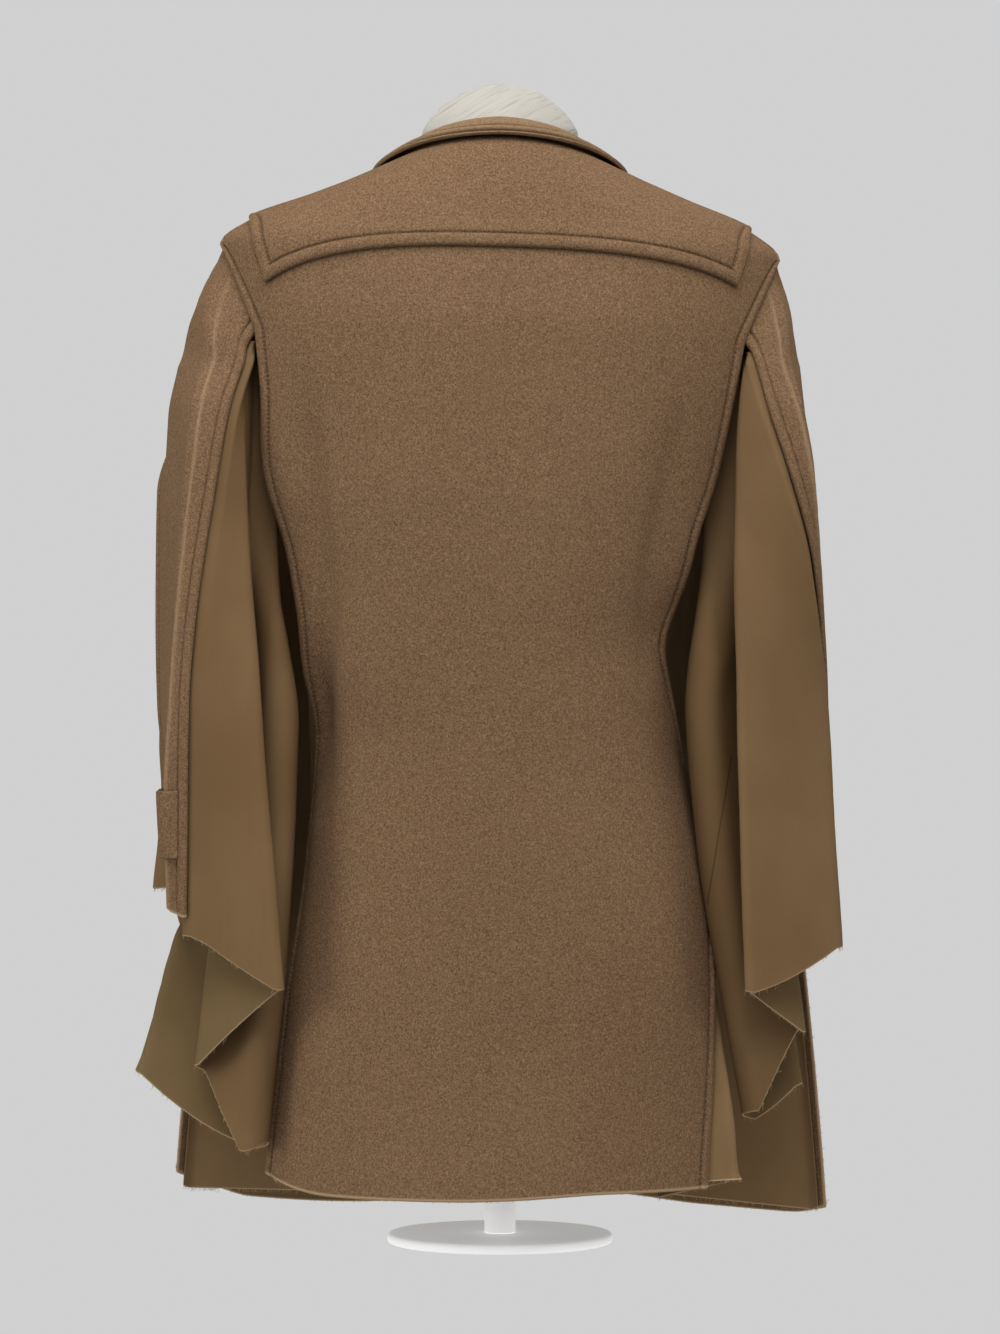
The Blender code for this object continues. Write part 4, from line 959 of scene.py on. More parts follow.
def armhole_line(side, count):
    """The sleeve's top edge: along the straight stretches of the body's armhole, just outside
    it and a little sunk."""
    corners = []
    halves = ((side, 1.0, ARMHOLE_LEVELS), ("front_half", -1.0, ARMHOLE_LEVELS[-2::-1]))
    for column, sign, levels in halves:
        for level in levels:
            turn = sign * float(armhole_bearing(column, np.array(level)))
            corners.append(armhole_point(side, turn, level))
    corners = np.array(corners)
    place = np.linspace(0.0, len(corners) - 1.0, count)
    index = np.arange(len(corners))
    return np.stack([np.interp(place, index, corners[:, i]) for i in range(3)], axis=1)


def armhole_point(side, turn, level):
    """A corner of the armhole, moved off the body's edge; worked out as if on the left."""
    bearing = np.array(turn if side == "left" else 180.0 - turn)
    point = body_out(bearing, level, -HEAD_SINK)
    deeper = body_out(bearing, level, -HEAD_SINK - PROBE)
    flip = np.array([math.copysign(1.0, point[0]), 1.0, 1.0])
    out = (point - deeper) * flip
    outwards, inwards, upwards = ARMHOLE_SLOPE
    rise = np.array([outwards, -math.copysign(inwards, turn), upwards])
    away = unit(np.cross(rise, out))
    if away[2] > 0.0:
        away = -away
    low = (TIP_LEVEL - level) / (TIP_LEVEL - APEX_LEVEL)
    return point * flip + away * mix(HEAD_GAP_TIP, HEAD_GAP_APEX, low)


def sleeve_grid(side):
    top = sleeve_line(side, SLEEVE_TOP, SLEEVE_FINE)
    head = armhole_line(side, len(top))
    rows = []
    share = np.linspace(0.0, 1.0, len(top))
    fade = ease(share / CAP_FADE) * ease((1.0 - share) / CAP_FADE)
    out = np.stack([mix(CAP_EDGE_BOW, 1.0, fade), 0.0 * fade, 0.0 * fade], axis=1)
    for part in np.linspace(0.0, 1.0, CAP_ROWS)[:-1]:
        bow = CAP_BOW[side] * (4.0 * part * (1.0 - part)) ** 2
        rows.append(mix(head, top, part) + out * bow)
    for level in np.linspace(SLEEVE_TOP, SLEEVE_BOTTOM, SLEEVE_ROWS):
        line = sleeve_line(side, level, SLEEVE_FINE)
        low = max(0.0, 1.0 - (level - SLEEVE_BOTTOM) / CUFF_RUN)
        line[:, 2] += CUFF_RISE[side] * share * low
        rows.append(line)
    return mirrored(np.array(rows), side)


def tab_grid(side):
    rows = []
    inner = slice(SLEEVE_FINE, -SLEEVE_FINE)
    for part in np.linspace(0.0, 1.0, TAB_ROWS):
        line = sleeve_line(side, mix(TAB_TOP, TAB_BOTTOM, part), SLEEVE_FINE)
        ahead = np.gradient(line, axis=0)
        out = unit(np.stack([-ahead[:, 1], ahead[:, 0], np.zeros(len(line))], axis=1))
        line, out = line[inner], out[inner]
        place = np.linspace(0.0, 2.0, len(line))
        away = np.minimum(place, 2.0 - place)
        bow = TAB_BOW * ease(2.0 * away) * mix(1.0, TAB_LOW_BOW, part)
        rows.append(line + out * (WOOL + LAY_GAP + bow)[:, None])
    return mirrored(np.array(rows), side)


def sleeve_edge(side, end, level):
    """A point of the wool's back or front edge, and one further in by the lap, both on the
    inside of the wool and clear of it."""
    line = sleeve_line(side, max(SLEEVE_BOTTOM, min(SLEEVE_TOP, level)), 1)
    if level > SLEEVE_TOP:
        head = armhole_line(side, len(line))
        part = (head[:, 2:] - level) / (head[:, 2:] - SLEEVE_TOP)
        line = mix(head, line, part)
    if end == "front":
        line = line[::-1]
    along = unit(line[1] - line[0])
    inward = np.array([along[1], -along[0], 0.0]) * (1.0 if end == "back" else -1.0)
    spot = line[0] + inward * LAP_CLEAR
    lap = spot + along * LAP + inward * LAP_SLANT
    return Vector((spot[0], spot[1], level)), Vector((lap[0], lap[1], level))


def bell_line(side, part):
    """The under-sleeve's line, from the underarm (part 0) to its hem (part 1)."""
    back_hem, front_hem = BELL_EDGE_HEM[side]
    back_edge, back_lap = sleeve_edge(side, "back", mix(BELL_TOP, back_hem, part))
    front_edge, front_lap = sleeve_edge(side, "front", mix(BELL_TOP, front_hem, part))
    stations = [back_lap, back_edge]
    radii = [0.0, EDGE_RADIUS]
    sags = [0.0, 0.0]
    starts = {"turn": back_edge, "hook": front_edge}
    swelling = ease((part - SWELL_FROM) / (SWELL_FULL - SWELL_FROM))
    swelling *= ease((1.0 - part) / (1.0 - SWELL_FULL))
    early = math.sin(math.pi * math.sqrt(part))
    middle = math.sin(math.pi * part) * ease((part - PULL_FROM) / (PULL_FULL - PULL_FROM))
    for row in FOLDS[side]:
        fold = dict(zip(FOLD_COLUMNS, row))
        start = starts.get(fold["fold"], Vector((0.0, 0.0, 0.0)))
        x = start.x + mix(fold["top_x"], fold["hem_x"], part ** fold["bow_x"])
        y = start.y + mix(fold["top_y"], fold["hem_y"], part ** fold["bow_y"])
        x += fold["swell"] * swelling + fold["draw_x"] * early + fold["pull_x"] * middle
        y += fold["pull_y"] * middle
        stations.append(Vector((x, y, mix(BELL_TOP, fold["hem_z"], part))))
        radii.append(fold["radius"])
        sags.append(fold["sag"] * part)
    stations += [front_edge, front_lap]
    radii += [EDGE_RADIUS, 0.0]
    return belt(stations, radii, 2, BELL_FINE, sags)


def bell_crown(side):
    """The under-sleeve's top row, just below the armhole's ends: plain, from the wool's back
    edge to its front edge, with its folds not yet open."""
    head = armhole_line(side, 2)
    level = float(min(head[0, 2], head[-1, 2])) - HEAD_ROOM
    back_edge, back_lap = sleeve_edge(side, "back", level)
    front_edge, front_lap = sleeve_edge(side, "front", level)
    stations = [back_lap, back_edge]
    for part in CROWN_PARTS.values():
        bow = Vector((CROWN_BOW * 4.0 * part * (1.0 - part), 0.0, 0.0))
        stations.append(back_edge.lerp(front_edge, part) - bow)
    stations += [front_edge, front_lap]
    radii = [0.0] + [EDGE_RADIUS] * (len(stations) - 2) + [0.0]
    return belt(stations, radii, 2, BELL_FINE)


def bell_grid(side):
    crown = bell_crown(side)
    first = bell_line(side, 0.0)
    rows = [mix(crown, first, part) for part in np.linspace(0.0, 1.0, CROWN_ROWS)[:-1]]
    rows += [bell_line(side, part) for part in np.linspace(0.0, 1.0, BELL_ROWS)]
    return mirrored(np.array(rows), side)


def panel_edge(side, panel, level):
    """Two points inside a panel's wall, a lap apart: from its raw edge on the back, and from
    a lap short of the raw edge on a front."""
    level = np.array(level)
    if panel == "back":
        turn = float(side_bearing(side, "back_" + side, level))
        sign = 1.0
    else:
        turn = float(side_bearing("front_half", "front", level))
        sign = -1.0
    step = math.degrees(LAP / float(BODY.at("front_half" if panel == "front" else side, level)))
    first = turn if panel == "back" else turn + step
    spots = []
    for degrees in (first, first + step):
        bearing = sign * degrees if side == "left" else 180.0 - sign * degrees
        point = body_out(np.array(bearing), level, -LAP_CLEAR)
        spots.append(Vector((abs(point[0]), point[1], float(level))))
    return spots


def godet_line(side, level, hem, drop):
    """The godet's line at a height. "drop" is how far its stations have gone to their own hem
    heights."""
    table = GODET[side]
    heights = [mix(level, height, drop) for height in hem]
    back_edge, back_lap = panel_edge(side, "back", heights[1])
    front_end, front_lap = panel_edge(side, "front", heights[4])
    stations = [back_lap, back_edge]
    for fold in ("outer", "inner"):
        x, y = table.at(fold + "_x", level), table.at(fold + "_y", level)
        stations.append(Vector((float(x), float(y), 0.0)))
    stations += [front_lap, front_end]
    for station, height in zip(stations, heights):
        station.z = height
    return belt(stations, GODET_RADII, 1, GODET_FINE)


def godet_grid(side):
    rows = []
    for level in np.linspace(GODET_TOP, GODET_LOW, GODET_ROWS):
        drop = float(np.clip(1.0 - (level - GODET_LOW) / HEM_RUN, 0.0, 1.0))
        rows.append(godet_line(side, float(level), GODET_HEM[side], drop))
    return mirrored(np.array(rows), side)


# Materials

def new_material(name):
    material = bpy.data.materials.new(name)
    material.use_nodes = True
    tree = material.node_tree
    return material, tree, tree.nodes["Principled BSDF"]


def set_sockets(tree, node, values):
    """Give a node's sockets their values. A value may be a link."""
    for key, value in values.items():
        if isinstance(value, bpy.types.NodeSocket):
            tree.links.new(value, node.inputs[key])
        else:
            node.inputs[key].default_value = value


def add_node(tree, kind, settings, values):
    """A node with its settings and its sockets' values."""
    made = tree.nodes.new(kind)
    for key, value in settings.items():
        setattr(made, key, value)
    set_sockets(tree, made, values)
    return made


def calc(tree, operation, first, second=0.0, third=0.0):
    values = {0: first, 1: second, 2: third}
    return add_node(tree, "ShaderNodeMath", {"operation": operation}, values).outputs[0]


def own_place(tree):
    """A point's place in its own object."""
    return add_node(tree, "ShaderNodeTexCoord", {}, {}).outputs["Object"]


def mapped(tree, place, scale=(1.0, 1.0, 1.0), turn=(0.0, 0.0, 0.0)):
    values = {"Vector": place, "Scale": scale, "Rotation": turn}
    return add_node(tree, "ShaderNodeMapping", {}, values).outputs["Vector"]


def noise(tree, place, scale, detail, roughness):
    values = {"Vector": place, "Scale": scale, "Detail": detail, "Roughness": roughness}
    return add_node(tree, "ShaderNodeTexNoise", {}, values).outputs["Fac"]


def waves(tree, length, pitch):
    return calc(tree, "SINE", calc(tree, "MULTIPLY", length, 2.0 * math.pi / pitch))


def soft_step(tree, value, run, ends):
    """From the first end to the second, softly, as the value goes over the run."""
    values = {"Value": value, "From Min": run[0], "From Max": run[1], "To Min": ends[0],
              "To Max": ends[1]}
    settings = {"interpolation_type": "SMOOTHSTEP"}
    return add_node(tree, "ShaderNodeMapRange", settings, values).outputs["Result"]


def band(tree, value, centre, half):
    """1 where a value is at the centre, falling softly to 0 at half a band's width."""
    off = calc(tree, "ABSOLUTE", calc(tree, "SUBTRACT", value, centre))
    return soft_step(tree, off, (0.0, half), (1.0, 0.0))


def blend_colour(tree, part, first, second):
    """The first colour, a link, going over to the second where part is 1."""
    values = {0: part, 6: first, 7: (*second, 1.0)}
    return add_node(tree, "ShaderNodeMix", {"data_type": "RGBA"}, values).outputs[2]


def mark(tree, name):
    settings = {"attribute_name": name, "attribute_type": "GEOMETRY"}
    return add_node(tree, "ShaderNodeAttribute", settings, {}).outputs["Fac"]


def ramp(tree, value, stops):
    made = add_node(tree, "ShaderNodeValToRGB", {}, {"Fac": value})
    elements = made.color_ramp.elements
    while len(elements) < len(stops):
        elements.new(0.5)
    for element, (place, colour) in zip(elements, stops):
        element.position = place
        element.color = (*colour, 1.0)
    return made.outputs["Color"]


def bump(tree, height, strength, distance, normal=None):
    values = {"Height": height, "Strength": strength, "Distance": distance}
    if normal is not None:
        values["Normal"] = normal
    return add_node(tree, "ShaderNodeBump", {}, values).outputs["Normal"]


# Felted wool: its colours, and the shares of its grain, its clumps and its slow mottling
WOOL_DARK = (0.096, 0.056, 0.029)
WOOL_MID = (0.163, 0.098, 0.054)
WOOL_LIGHT = (0.243, 0.153, 0.089)
WOOL_PALE_CUT_AND_HIGHLIGHT = (0.400, 0.280, 0.165)
WOOL_GROOVE = (0.060, 0.034, 0.018)
GRAIN_SHARE = 0.82
CLUMP_SHARE = 0.18
MOTTLE_SHARE = 0.10

# The dark of a stitch line, partly its stitches and partly painted shade in its groove: its
# half width, its share, how that comes and goes with each stitch and how deep the line is drawn
# in beside a stitch
STITCH_AND_SHADE_WIDE = 0.0018
STITCH_AND_SHADE = 0.46
STITCH_AND_SHADE_WAVE = 0.14
STITCH_DRAW = -0.8

# The pale of ridges, which is a painted highlight, and of cut edges: its share, and how far from
# the edge it fades
RIDGE_HIGHLIGHT_SHARE = 0.40
WOOL_CUT_SHARE = 0.85
WOOL_CUT_RUN = (0.0004, 0.0024)


def wool_material():
    """Felted wool: a short clumped nap, slow mottling, stitch grooves and pale cut edges."""
    material, tree, shader = new_material("wool_felt")
    place = own_place(tree)
    grain = noise(tree, place, scale=720.0, detail=3.0, roughness=0.70)
    clumps = noise(tree, place, scale=330.0, detail=2.0, roughness=0.55)
    broad = noise(tree, place, scale=6.0, detail=2.0, roughness=0.5)
    clumps = calc(tree, "MULTIPLY", clumps, CLUMP_SHARE)
    value = calc(tree, "MULTIPLY_ADD", grain, GRAIN_SHARE, clumps)
    mottle = calc(tree, "MULTIPLY", calc(tree, "SUBTRACT", broad, 0.5), MOTTLE_SHARE)
    value = calc(tree, "ADD", value, mottle)
    colour = ramp(tree, value, [(0.36, WOOL_DARK), (0.50, WOOL_MID), (0.66, WOOL_LIGHT)])
    # The stitch line is drawn dark: partly its stitches, partly painted shade in its groove
    groove = band(tree, mark(tree, "seam"), STITCH_IN, STITCH_AND_SHADE_WIDE)
    wave = waves(tree, mark(tree, "run"), STITCH_PITCH)
    stitch = calc(tree, "MULTIPLY_ADD", wave, STITCH_AND_SHADE_WAVE, STITCH_AND_SHADE)
    colour = blend_colour(tree, calc(tree, "MULTIPLY", groove, stitch), colour, WOOL_GROOVE)
    # Painted highlight: ridges are drawn paler, in the cut edges' colour
    ridge_highlight = calc(tree, "MULTIPLY", mark(tree, "ridge"), RIDGE_HIGHLIGHT_SHARE)
    colour = blend_colour(tree, ridge_highlight, colour, WOOL_PALE_CUT_AND_HIGHLIGHT)
    cut = soft_step(tree, mark(tree, "rim"), WOOL_CUT_RUN, (WOOL_CUT_SHARE, 0.0))
    colour = blend_colour(tree, cut, colour, WOOL_PALE_CUT_AND_HIGHLIGHT)
    lift = calc(tree, "MULTIPLY_ADD", groove, STITCH_DRAW, calc(tree, "MULTIPLY", wave, groove))
    nap = bump(tree, value, strength=0.45, distance=0.0012)
    set_sockets(tree, shader, {
        "Base Color": colour,
        "Normal": bump(tree, lift, strength=0.5, distance=0.0006, normal=nap),
        "Roughness": 0.95,
        "Sheen Weight": 0.03,
        "Sheen Roughness": 0.45,
        "Sheen Tint": (0.80, 0.60, 0.40, 1.0),
        "Specular IOR Level": 0.0,
    })
    return material


# Gabardine: the colours of its face, its reverse and a copy made brighter as painted light for
# pieces in shade, and of its cut edge
GABARDINE_FACE = [(0.35, (0.143, 0.085, 0.039)), (0.65, (0.174, 0.108, 0.052))]
GABARDINE_REVERSE = [(0.35, (0.132, 0.086, 0.038)), (0.65, (0.161, 0.107, 0.050))]
GABARDINE_BRIGHTENED = [(0.35, (0.180, 0.110, 0.052)), (0.65, (0.214, 0.135, 0.067))]
GABARDINE_CUT = (0.430, 0.310, 0.180)
GABARDINE_CUT_SHARE = 0.9
GABARDINE_CUT_RUN = (-0.0005, 0.0012)

# Its twill lines and streaks, the shares of each, and the dark line of a seam
TWILL_PITCH = 0.0009
TWILL_SLANT = 0.7
TWILL_SHARE = 0.02
STREAK_SCALE = (260.0, 9.0, 1.0)
STREAK_SHARE = 0.12
BROAD_SHARE = 0.78
SEAM_DARK = 0.75
SEAM_DARK_WIDE = 0.0012


def gabardine_material(name, stops):
    """Fine smooth twill with faint streaks along its grain, a seam's dark line and a pale cut
    edge."""
    material, tree, shader = new_material(name)
    flat = add_node(tree, "ShaderNodeTexCoord", {}, {}).outputs["UV"]
    split = add_node(tree, "ShaderNodeSeparateXYZ", {}, {"Vector": flat})
    slant = calc(tree, "MULTIPLY_ADD", split.outputs["Y"], TWILL_SLANT, split.outputs["X"])
    twill = waves(tree, slant, TWILL_PITCH)
    drawn = mapped(tree, flat, scale=STREAK_SCALE)
    streaks = noise(tree, drawn, scale=1.0, detail=2.0, roughness=0.5)
    broad = noise(tree, own_place(tree), scale=12.0, detail=2.0, roughness=0.5)
    broad = calc(tree, "MULTIPLY", broad, BROAD_SHARE)
    value = calc(tree, "MULTIPLY_ADD", streaks, STREAK_SHARE, broad)
    value = calc(tree, "MULTIPLY_ADD", twill, TWILL_SHARE, value)
    colour = ramp(tree, value, stops)
    line = band(tree, mark(tree, "seam"), 0.0, SEAM_DARK_WIDE)
    colour = blend_colour(tree, calc(tree, "MULTIPLY", line, SEAM_DARK), colour, WOOL_GROOVE)
    cut = soft_step(tree, mark(tree, "rim"), GABARDINE_CUT_RUN, (GABARDINE_CUT_SHARE, 0.0))
    colour = blend_colour(tree, cut, colour, GABARDINE_CUT)
    weave = bump(tree, twill, strength=0.10, distance=0.0002)
    set_sockets(tree, shader, {
        "Base Color": colour,
        "Normal": bump(tree, streaks, strength=0.02, distance=0.0008, normal=weave),
        "Roughness": 0.80,
        "Sheen Weight": 0.02,
        "Sheen Roughness": 0.4,
        "Sheen Tint": (0.60, 0.42, 0.22, 1.0),
        "Specular IOR Level": 0.05,
    })
    return material


# The cover's cream, with painted shade where its wrinkles dip
FORM_COLOURS = [(0.32, (0.250, 0.237, 0.208)), (0.42, (0.366, 0.349, 0.309)),
                (0.72, (0.396, 0.378, 0.337))]
WRINKLE_TURN = (0.0, -0.55, 0.0)
WRINKLE_SCALE = (20.0, 24.0, 900.0)


def form_material():
    """Cream cotton cover with fine slanting wrinkles, painted darker in their hollows as shade."""
    material, tree, shader = new_material("form_cover")
    place = own_place(tree)
    drawn = mapped(tree, mapped(tree, place, turn=WRINKLE_TURN), scale=WRINKLE_SCALE)
    wrinkle = noise(tree, drawn, scale=1.0, detail=3.0, roughness=0.55)
    weave = noise(tree, place, scale=1400.0, detail=2.0, roughness=0.5)
    fine = bump(tree, weave, strength=0.12, distance=0.0003)
    set_sockets(tree, shader, {
        "Base Color": ramp(tree, wrinkle, FORM_COLOURS),
        "Normal": bump(tree, wrinkle, strength=0.35, distance=0.0015, normal=fine),
        "Roughness": 0.88,
        "Sheen Weight": 0.10,
        "Specular IOR Level": 0.2,
    })
    return material


PAPER_GREY = (0.631, 0.631, 0.631, 1.0)
STAND_COLOURS = [(0.3, (0.800, 0.800, 0.795)), (0.7, (0.840, 0.840, 0.834))]


def stand_material():
    """Matt pale paint with a faint orange-peel and a weak painted glow in the paper's grey."""
    material, tree, shader = new_material("stand_paint_glowing")
    peel = noise(tree, own_place(tree), scale=420.0, detail=2.0, roughness=0.5)
    set_sockets(tree, shader, {
        "Base Color": ramp(tree, peel, STAND_COLOURS),
        "Normal": bump(tree, peel, strength=0.08, distance=0.0004),
        "Roughness": 0.55,
        # Painted light: the stand glows, though it is no lamp
        "Emission Color": PAPER_GREY,
        "Emission Strength": 0.50,
    })
    return material


HORN_COLOURS = [(0.35, (0.030, 0.016, 0.009)), (0.55, (0.066, 0.036, 0.019)),
                (0.75, (0.150, 0.090, 0.050))]
HORN_TURN = (0.0, 0.5, 0.0)
HORN_SCALE = (90.0, 90.0, 320.0)


def horn_material():
    """Dark brown horn with pale streaks."""
    material, tree, shader = new_material("button_horn_polished")
    drawn = mapped(tree, own_place(tree), scale=HORN_SCALE, turn=HORN_TURN)
    streak = noise(tree, drawn, scale=1.0, detail=4.0, roughness=0.6)
    set_sockets(tree, shader, {
        "Base Color": ramp(tree, streak, HORN_COLOURS),
        "Normal": bump(tree, streak, strength=0.05, distance=0.0003),
        "Roughness": 0.38,
    })
    return material


THREAD_COLOURS = [(0.3, (0.100, 0.060, 0.034)), (0.7, (0.160, 0.100, 0.058))]


def thread_material():
    material, tree, shader = new_material("button_thread")
    twist = noise(tree, own_place(tree), scale=1800.0, detail=2.0, roughness=0.5)
    set_sockets(tree, shader, {"Base Color": ramp(tree, twist, THREAD_COLOURS), "Roughness": 0.8})
    return material


# Pieces

WOOL_FELT = wool_material()
GABARDINE_OUT = gabardine_material("gabardine_face", GABARDINE_FACE)
GABARDINE_IN = gabardine_material("gabardine_reverse", GABARDINE_REVERSE)
GABARDINE_BRIGHT_COPY = gabardine_material("gabardine_bright_copy", GABARDINE_BRIGHTENED)
FORM_COVER = form_material()
STAND_PAINT_GLOWING = stand_material()
HORN = horn_material()
THREAD = thread_material()


def place_piece(thing, node):
    """Ride on the body and stand for its node."""
    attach(thing, "root")
    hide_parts(node)


def place_cloth(thing, node):
    """Place a cloth piece."""
    place_piece(thing, node)


def tube_quads(start, rings, sides):
    """The four-sided faces round a tube, whose rings' points are numbered from start."""
    quads = []
    for ring in range(start, start + (rings - 1) * sides, sides):
        for corner in range(sides):
            beside = (corner + 1) % sides
            quads.append((ring + corner, ring + beside, ring + sides + beside,
                          ring + sides + corner))
    return quads


def fray(cloth, edge, inner, kind, material):
    """Loose threads that stand off a raw edge of a cloth, the same on every run. "inner" is a
    line a little way in from the edge."""
    count, longest, seed = FRAY[kind]
    random = np.random.default_rng(seed)
    along = unit(np.gradient(edge, axis=0))
    away = unit(edge - inner)
    pick = random.integers(1, len(edge) - 2, count)
    share = random.uniform(0.0, 1.0, (count, 1))
    base = mix(edge[pick], edge[pick + 1], share)
    out = np.cross(along[pick], away[pick])
    way = unit(away[pick] + random.normal(0.0, THREAD_SWAY, (count, 1)) * along[pick]
               + random.normal(0.0, THREAD_LIFT, (count, 1)) * out)
    bend = random.normal(0.0, THREAD_BEND, (count, 1)) * along[pick]
    length = longest * random.uniform(THREAD_SHORT, 1.0, (count, 1)) ** THREAD_SPREAD
    first = unit(np.cross(way, out))
    second = np.cross(way, first)
    sides = (first, second, -first, -second)
    centres = (base - THREAD_ROOT * way, base + 0.5 * length * way, base + length * (way + bend))
    rings = [centre + thick * side for centre, thick in zip(centres, THREAD_THICK)
             for side in sides]
    vertices = np.stack(rings, axis=1).reshape(-1, 3)
    quads = []
    for start in range(0, len(vertices), len(rings)):
        quads += tube_quads(start, len(centres), len(sides))
    mesh = quad_mesh(cloth.name + "_fray_" + str(seed), vertices, np.array(quads))
    for key, value in (("rim", 0.0), ("seam", 1.0), ("run", 0.0), ("ridge", 0.0)):
        add_mark(mesh, key, np.full(len(vertices), value))
    add_map(mesh, vertices[:, ::2])
    add_thing(mesh, material).parent = cloth


def pressed_ridge(dense, grid, along):
    """How near each point of a sleeve is to its pressed crease, from 0 to 1 on it."""
    place = lengths_along(dense)[:, CREASE_POINT]
    order = np.argsort(dense[:, CREASE_POINT, 2])
    crease = np.interp(grid[..., 2], dense[order, CREASE_POINT, 2], place[order])
    fade = ease((RIDGE_TOP - grid[..., 2]) / RIDGE_RUN)
    return fade * np.exp(-((along - crease) / RIDGE_WIDE) ** 2)


def wool_piece(name, dense, sign, edges, raw):
    """A wool piece from its dense grid, with its stitched edges, raw edges and creases."""
    is_collar = name == "collar"
    is_sleeve = name in ("sleeve_left", "sleeve_right")
    grid = smooth_grid(name, dense, edges, COLLAR_STEPS if is_collar else STITCHED_STEPS)
    marks = edge_marks(grid, edges, raw)
    crease_across = marks["along"] if is_sleeve else grid[..., 0]
    inside = ease((marks["seam"] - STITCH_IN) / STITCH_IN)
    relief = creases(name, crease_across, grid[..., 2]) * inside
    high = WOOL + relief
    if is_collar:
        ridges, past = collar_ridges(marks["seam"])
        high = high + ridges
        # Painted highlight on the collar's ridges, near its edge
        near = 1.0 - ease((marks["seam"] - COLLAR_HIGHLIGHT_TO) / COLLAR_HIGHLIGHT_TO)
        marks["ridge"] = COLLAR_HIGHLIGHT * near * ease(past / COLLAR_GROOVE_WIDE)
        marks["seam"] = STITCH_IN + 2.0 * past
    else:
        high = high + welt(marks["seam"])
    if is_sleeve:
        # The crease mark raises the sleeve's pressed ridge and draws a painted highlight along it
        marks["ridge"] = pressed_ridge(dense, grid, marks["along"])
        high = high + RIDGE_HIGH * marks["ridge"]
    # A front's reverse is the brightened gabardine copy: painted light where it lies in shade
    reverse = GABARDINE_BRIGHT_COPY if name.startswith("front") else WOOL_FELT
    thing = shell(name, grid, sign, relief, high, marks, (WOOL_FELT, reverse))
    place_cloth(thing, name)
    middle = grid + grid_normal(grid) * sign * 0.5 * WOOL
    if "first" in raw:
        fray(thing, middle[0], middle[THREAD_ROW], "wool_hem", WOOL_FELT)
    if "start" in raw:
        fray(thing, middle[:, 0], middle[:, THREAD_ROW], "wool_side", WOOL_FELT)


def joining_line(grid):
    """Each point's distance to the seam down the right under-sleeve's third fold."""
    x, y, height = -grid[..., 0], grid[..., 1], grid[..., 2]
    near = (y > SEAM_NEAR[0]) & (y < SEAM_NEAR[1])
    near &= (height > SEAM_SPAN[0]) & (height < SEAM_SPAN[1])
    past = x - SEAM_LINE.at("x", height)
    return np.where(near, past, np.copysign(1.0, past))


def gabardine_piece(name, dense, sign, seed):
    """A gabardine piece from its dense grid: a raw hem and slow ripples."""
    grid = smooth_grid(name, dense, ())
    marks = edge_marks(grid, (), ("last",))
    if name == "under_sleeve_right":
        marks["seam"] = joining_line(grid)
    along = marks["along"]
    fade = ease(along / RIPPLE_FADE) * ease((along[:, -1:] - along) / RIPPLE_FADE)
    relief = ripples(seed, along, grid[..., 2]) * fade
    half = 0.5 * GABARDINE
    is_godet = name.startswith("side_godet")
    # A godet's face is the brightened gabardine copy: painted light in its shade
    faces = (GABARDINE_BRIGHT_COPY, GABARDINE_OUT) if is_godet else (GABARDINE_OUT, GABARDINE_IN)
    thing = shell(name, grid, sign, relief - half, relief + half, marks, faces)
    place_cloth(thing, name)
    fray(thing, grid[-1], grid[-1 - THREAD_ROW], "gabardine", GABARDINE_OUT)


def make_form():
    """The form's torso: rings from its underside to the crown of its neck stub."""
    rings = []
    for level in np.linspace(FORM_FOOT, FORM_SHOULDER, FORM_ROWS):
        rings.append((level, *[FORM.at(name, level) for name in ("half", "back", "front")]))
    for half, back, front in reversed(FORM_SEAT.rows):
        low, high = TIP_LEVEL, NECK_LEVEL
        for _ in range(HALVINGS):
            middle = 0.5 * (low + high)
            if BODY.at("right", middle) > half:
                low = middle
            else:
                high = middle
        rings.append((low - lean(low) * half - FORM_GAP, half, back, front))
    rings += NECK_ROWS.rows
    for step in range(DOME_STEPS + 1):
        turn = 0.5 * math.pi * DOME_SHARE * step / DOME_STEPS
        radius = NECK_RADIUS * math.cos(turn)
        level = mix(NECK_DOME_LEVEL, NECK_TOP, math.sin(turn) ** NECK_DOME_POWER)
        rings.append((level, radius, radius * NECK_BACK, radius))
    rings = np.array(rings, float)
    place = np.arange(len(rings), dtype=float)
    fine = np.linspace(0.0, place[-1], FORM_FINE * len(rings))
    level, half, back, front = [smooth_value(place, rings[:, i], fine)[:, None] for i in range(4)]
    turn = round_turns(FORM_SIDES)[None, :]
    depth = np.where(np.sin(turn) >= 0.0, back, front)
    points = np.stack([half * np.cos(turn), depth * np.sin(turn), level + 0.0 * turn], axis=-1)
    place_piece(lathe("form_torso_cover", points, FORM_COVER), "form_torso")


def round_turns(sides):
    return np.linspace(0.0, 2.0 * math.pi, sides + 1)[:-1]


def lathe(name, points, material):
    """A closed body through rings of points, its two ends filled."""
    rows, columns = points.shape[:2]
    quads = tube_quads(0, rows, columns)
    mesh = bpy.data.meshes.new(name)
    last = (rows - 1) * columns
    caps = [list(range(columns))[::-1], list(range(last, last + columns))]
    mesh.from_pydata(points.reshape(-1, 3).tolist(), [], quads + caps)
    mesh.polygons.foreach_set("use_smooth", np.array([True] * len(quads) + [False] * 2))
    return add_thing(mesh, material)


def round_rings(profile, sides):
    """Rings round the stand's axis through (radius, height) rows."""
    return np.array([[(radius * math.cos(turn), radius * math.sin(turn), height)
                      for turn in round_turns(sides)] for radius, height in profile])


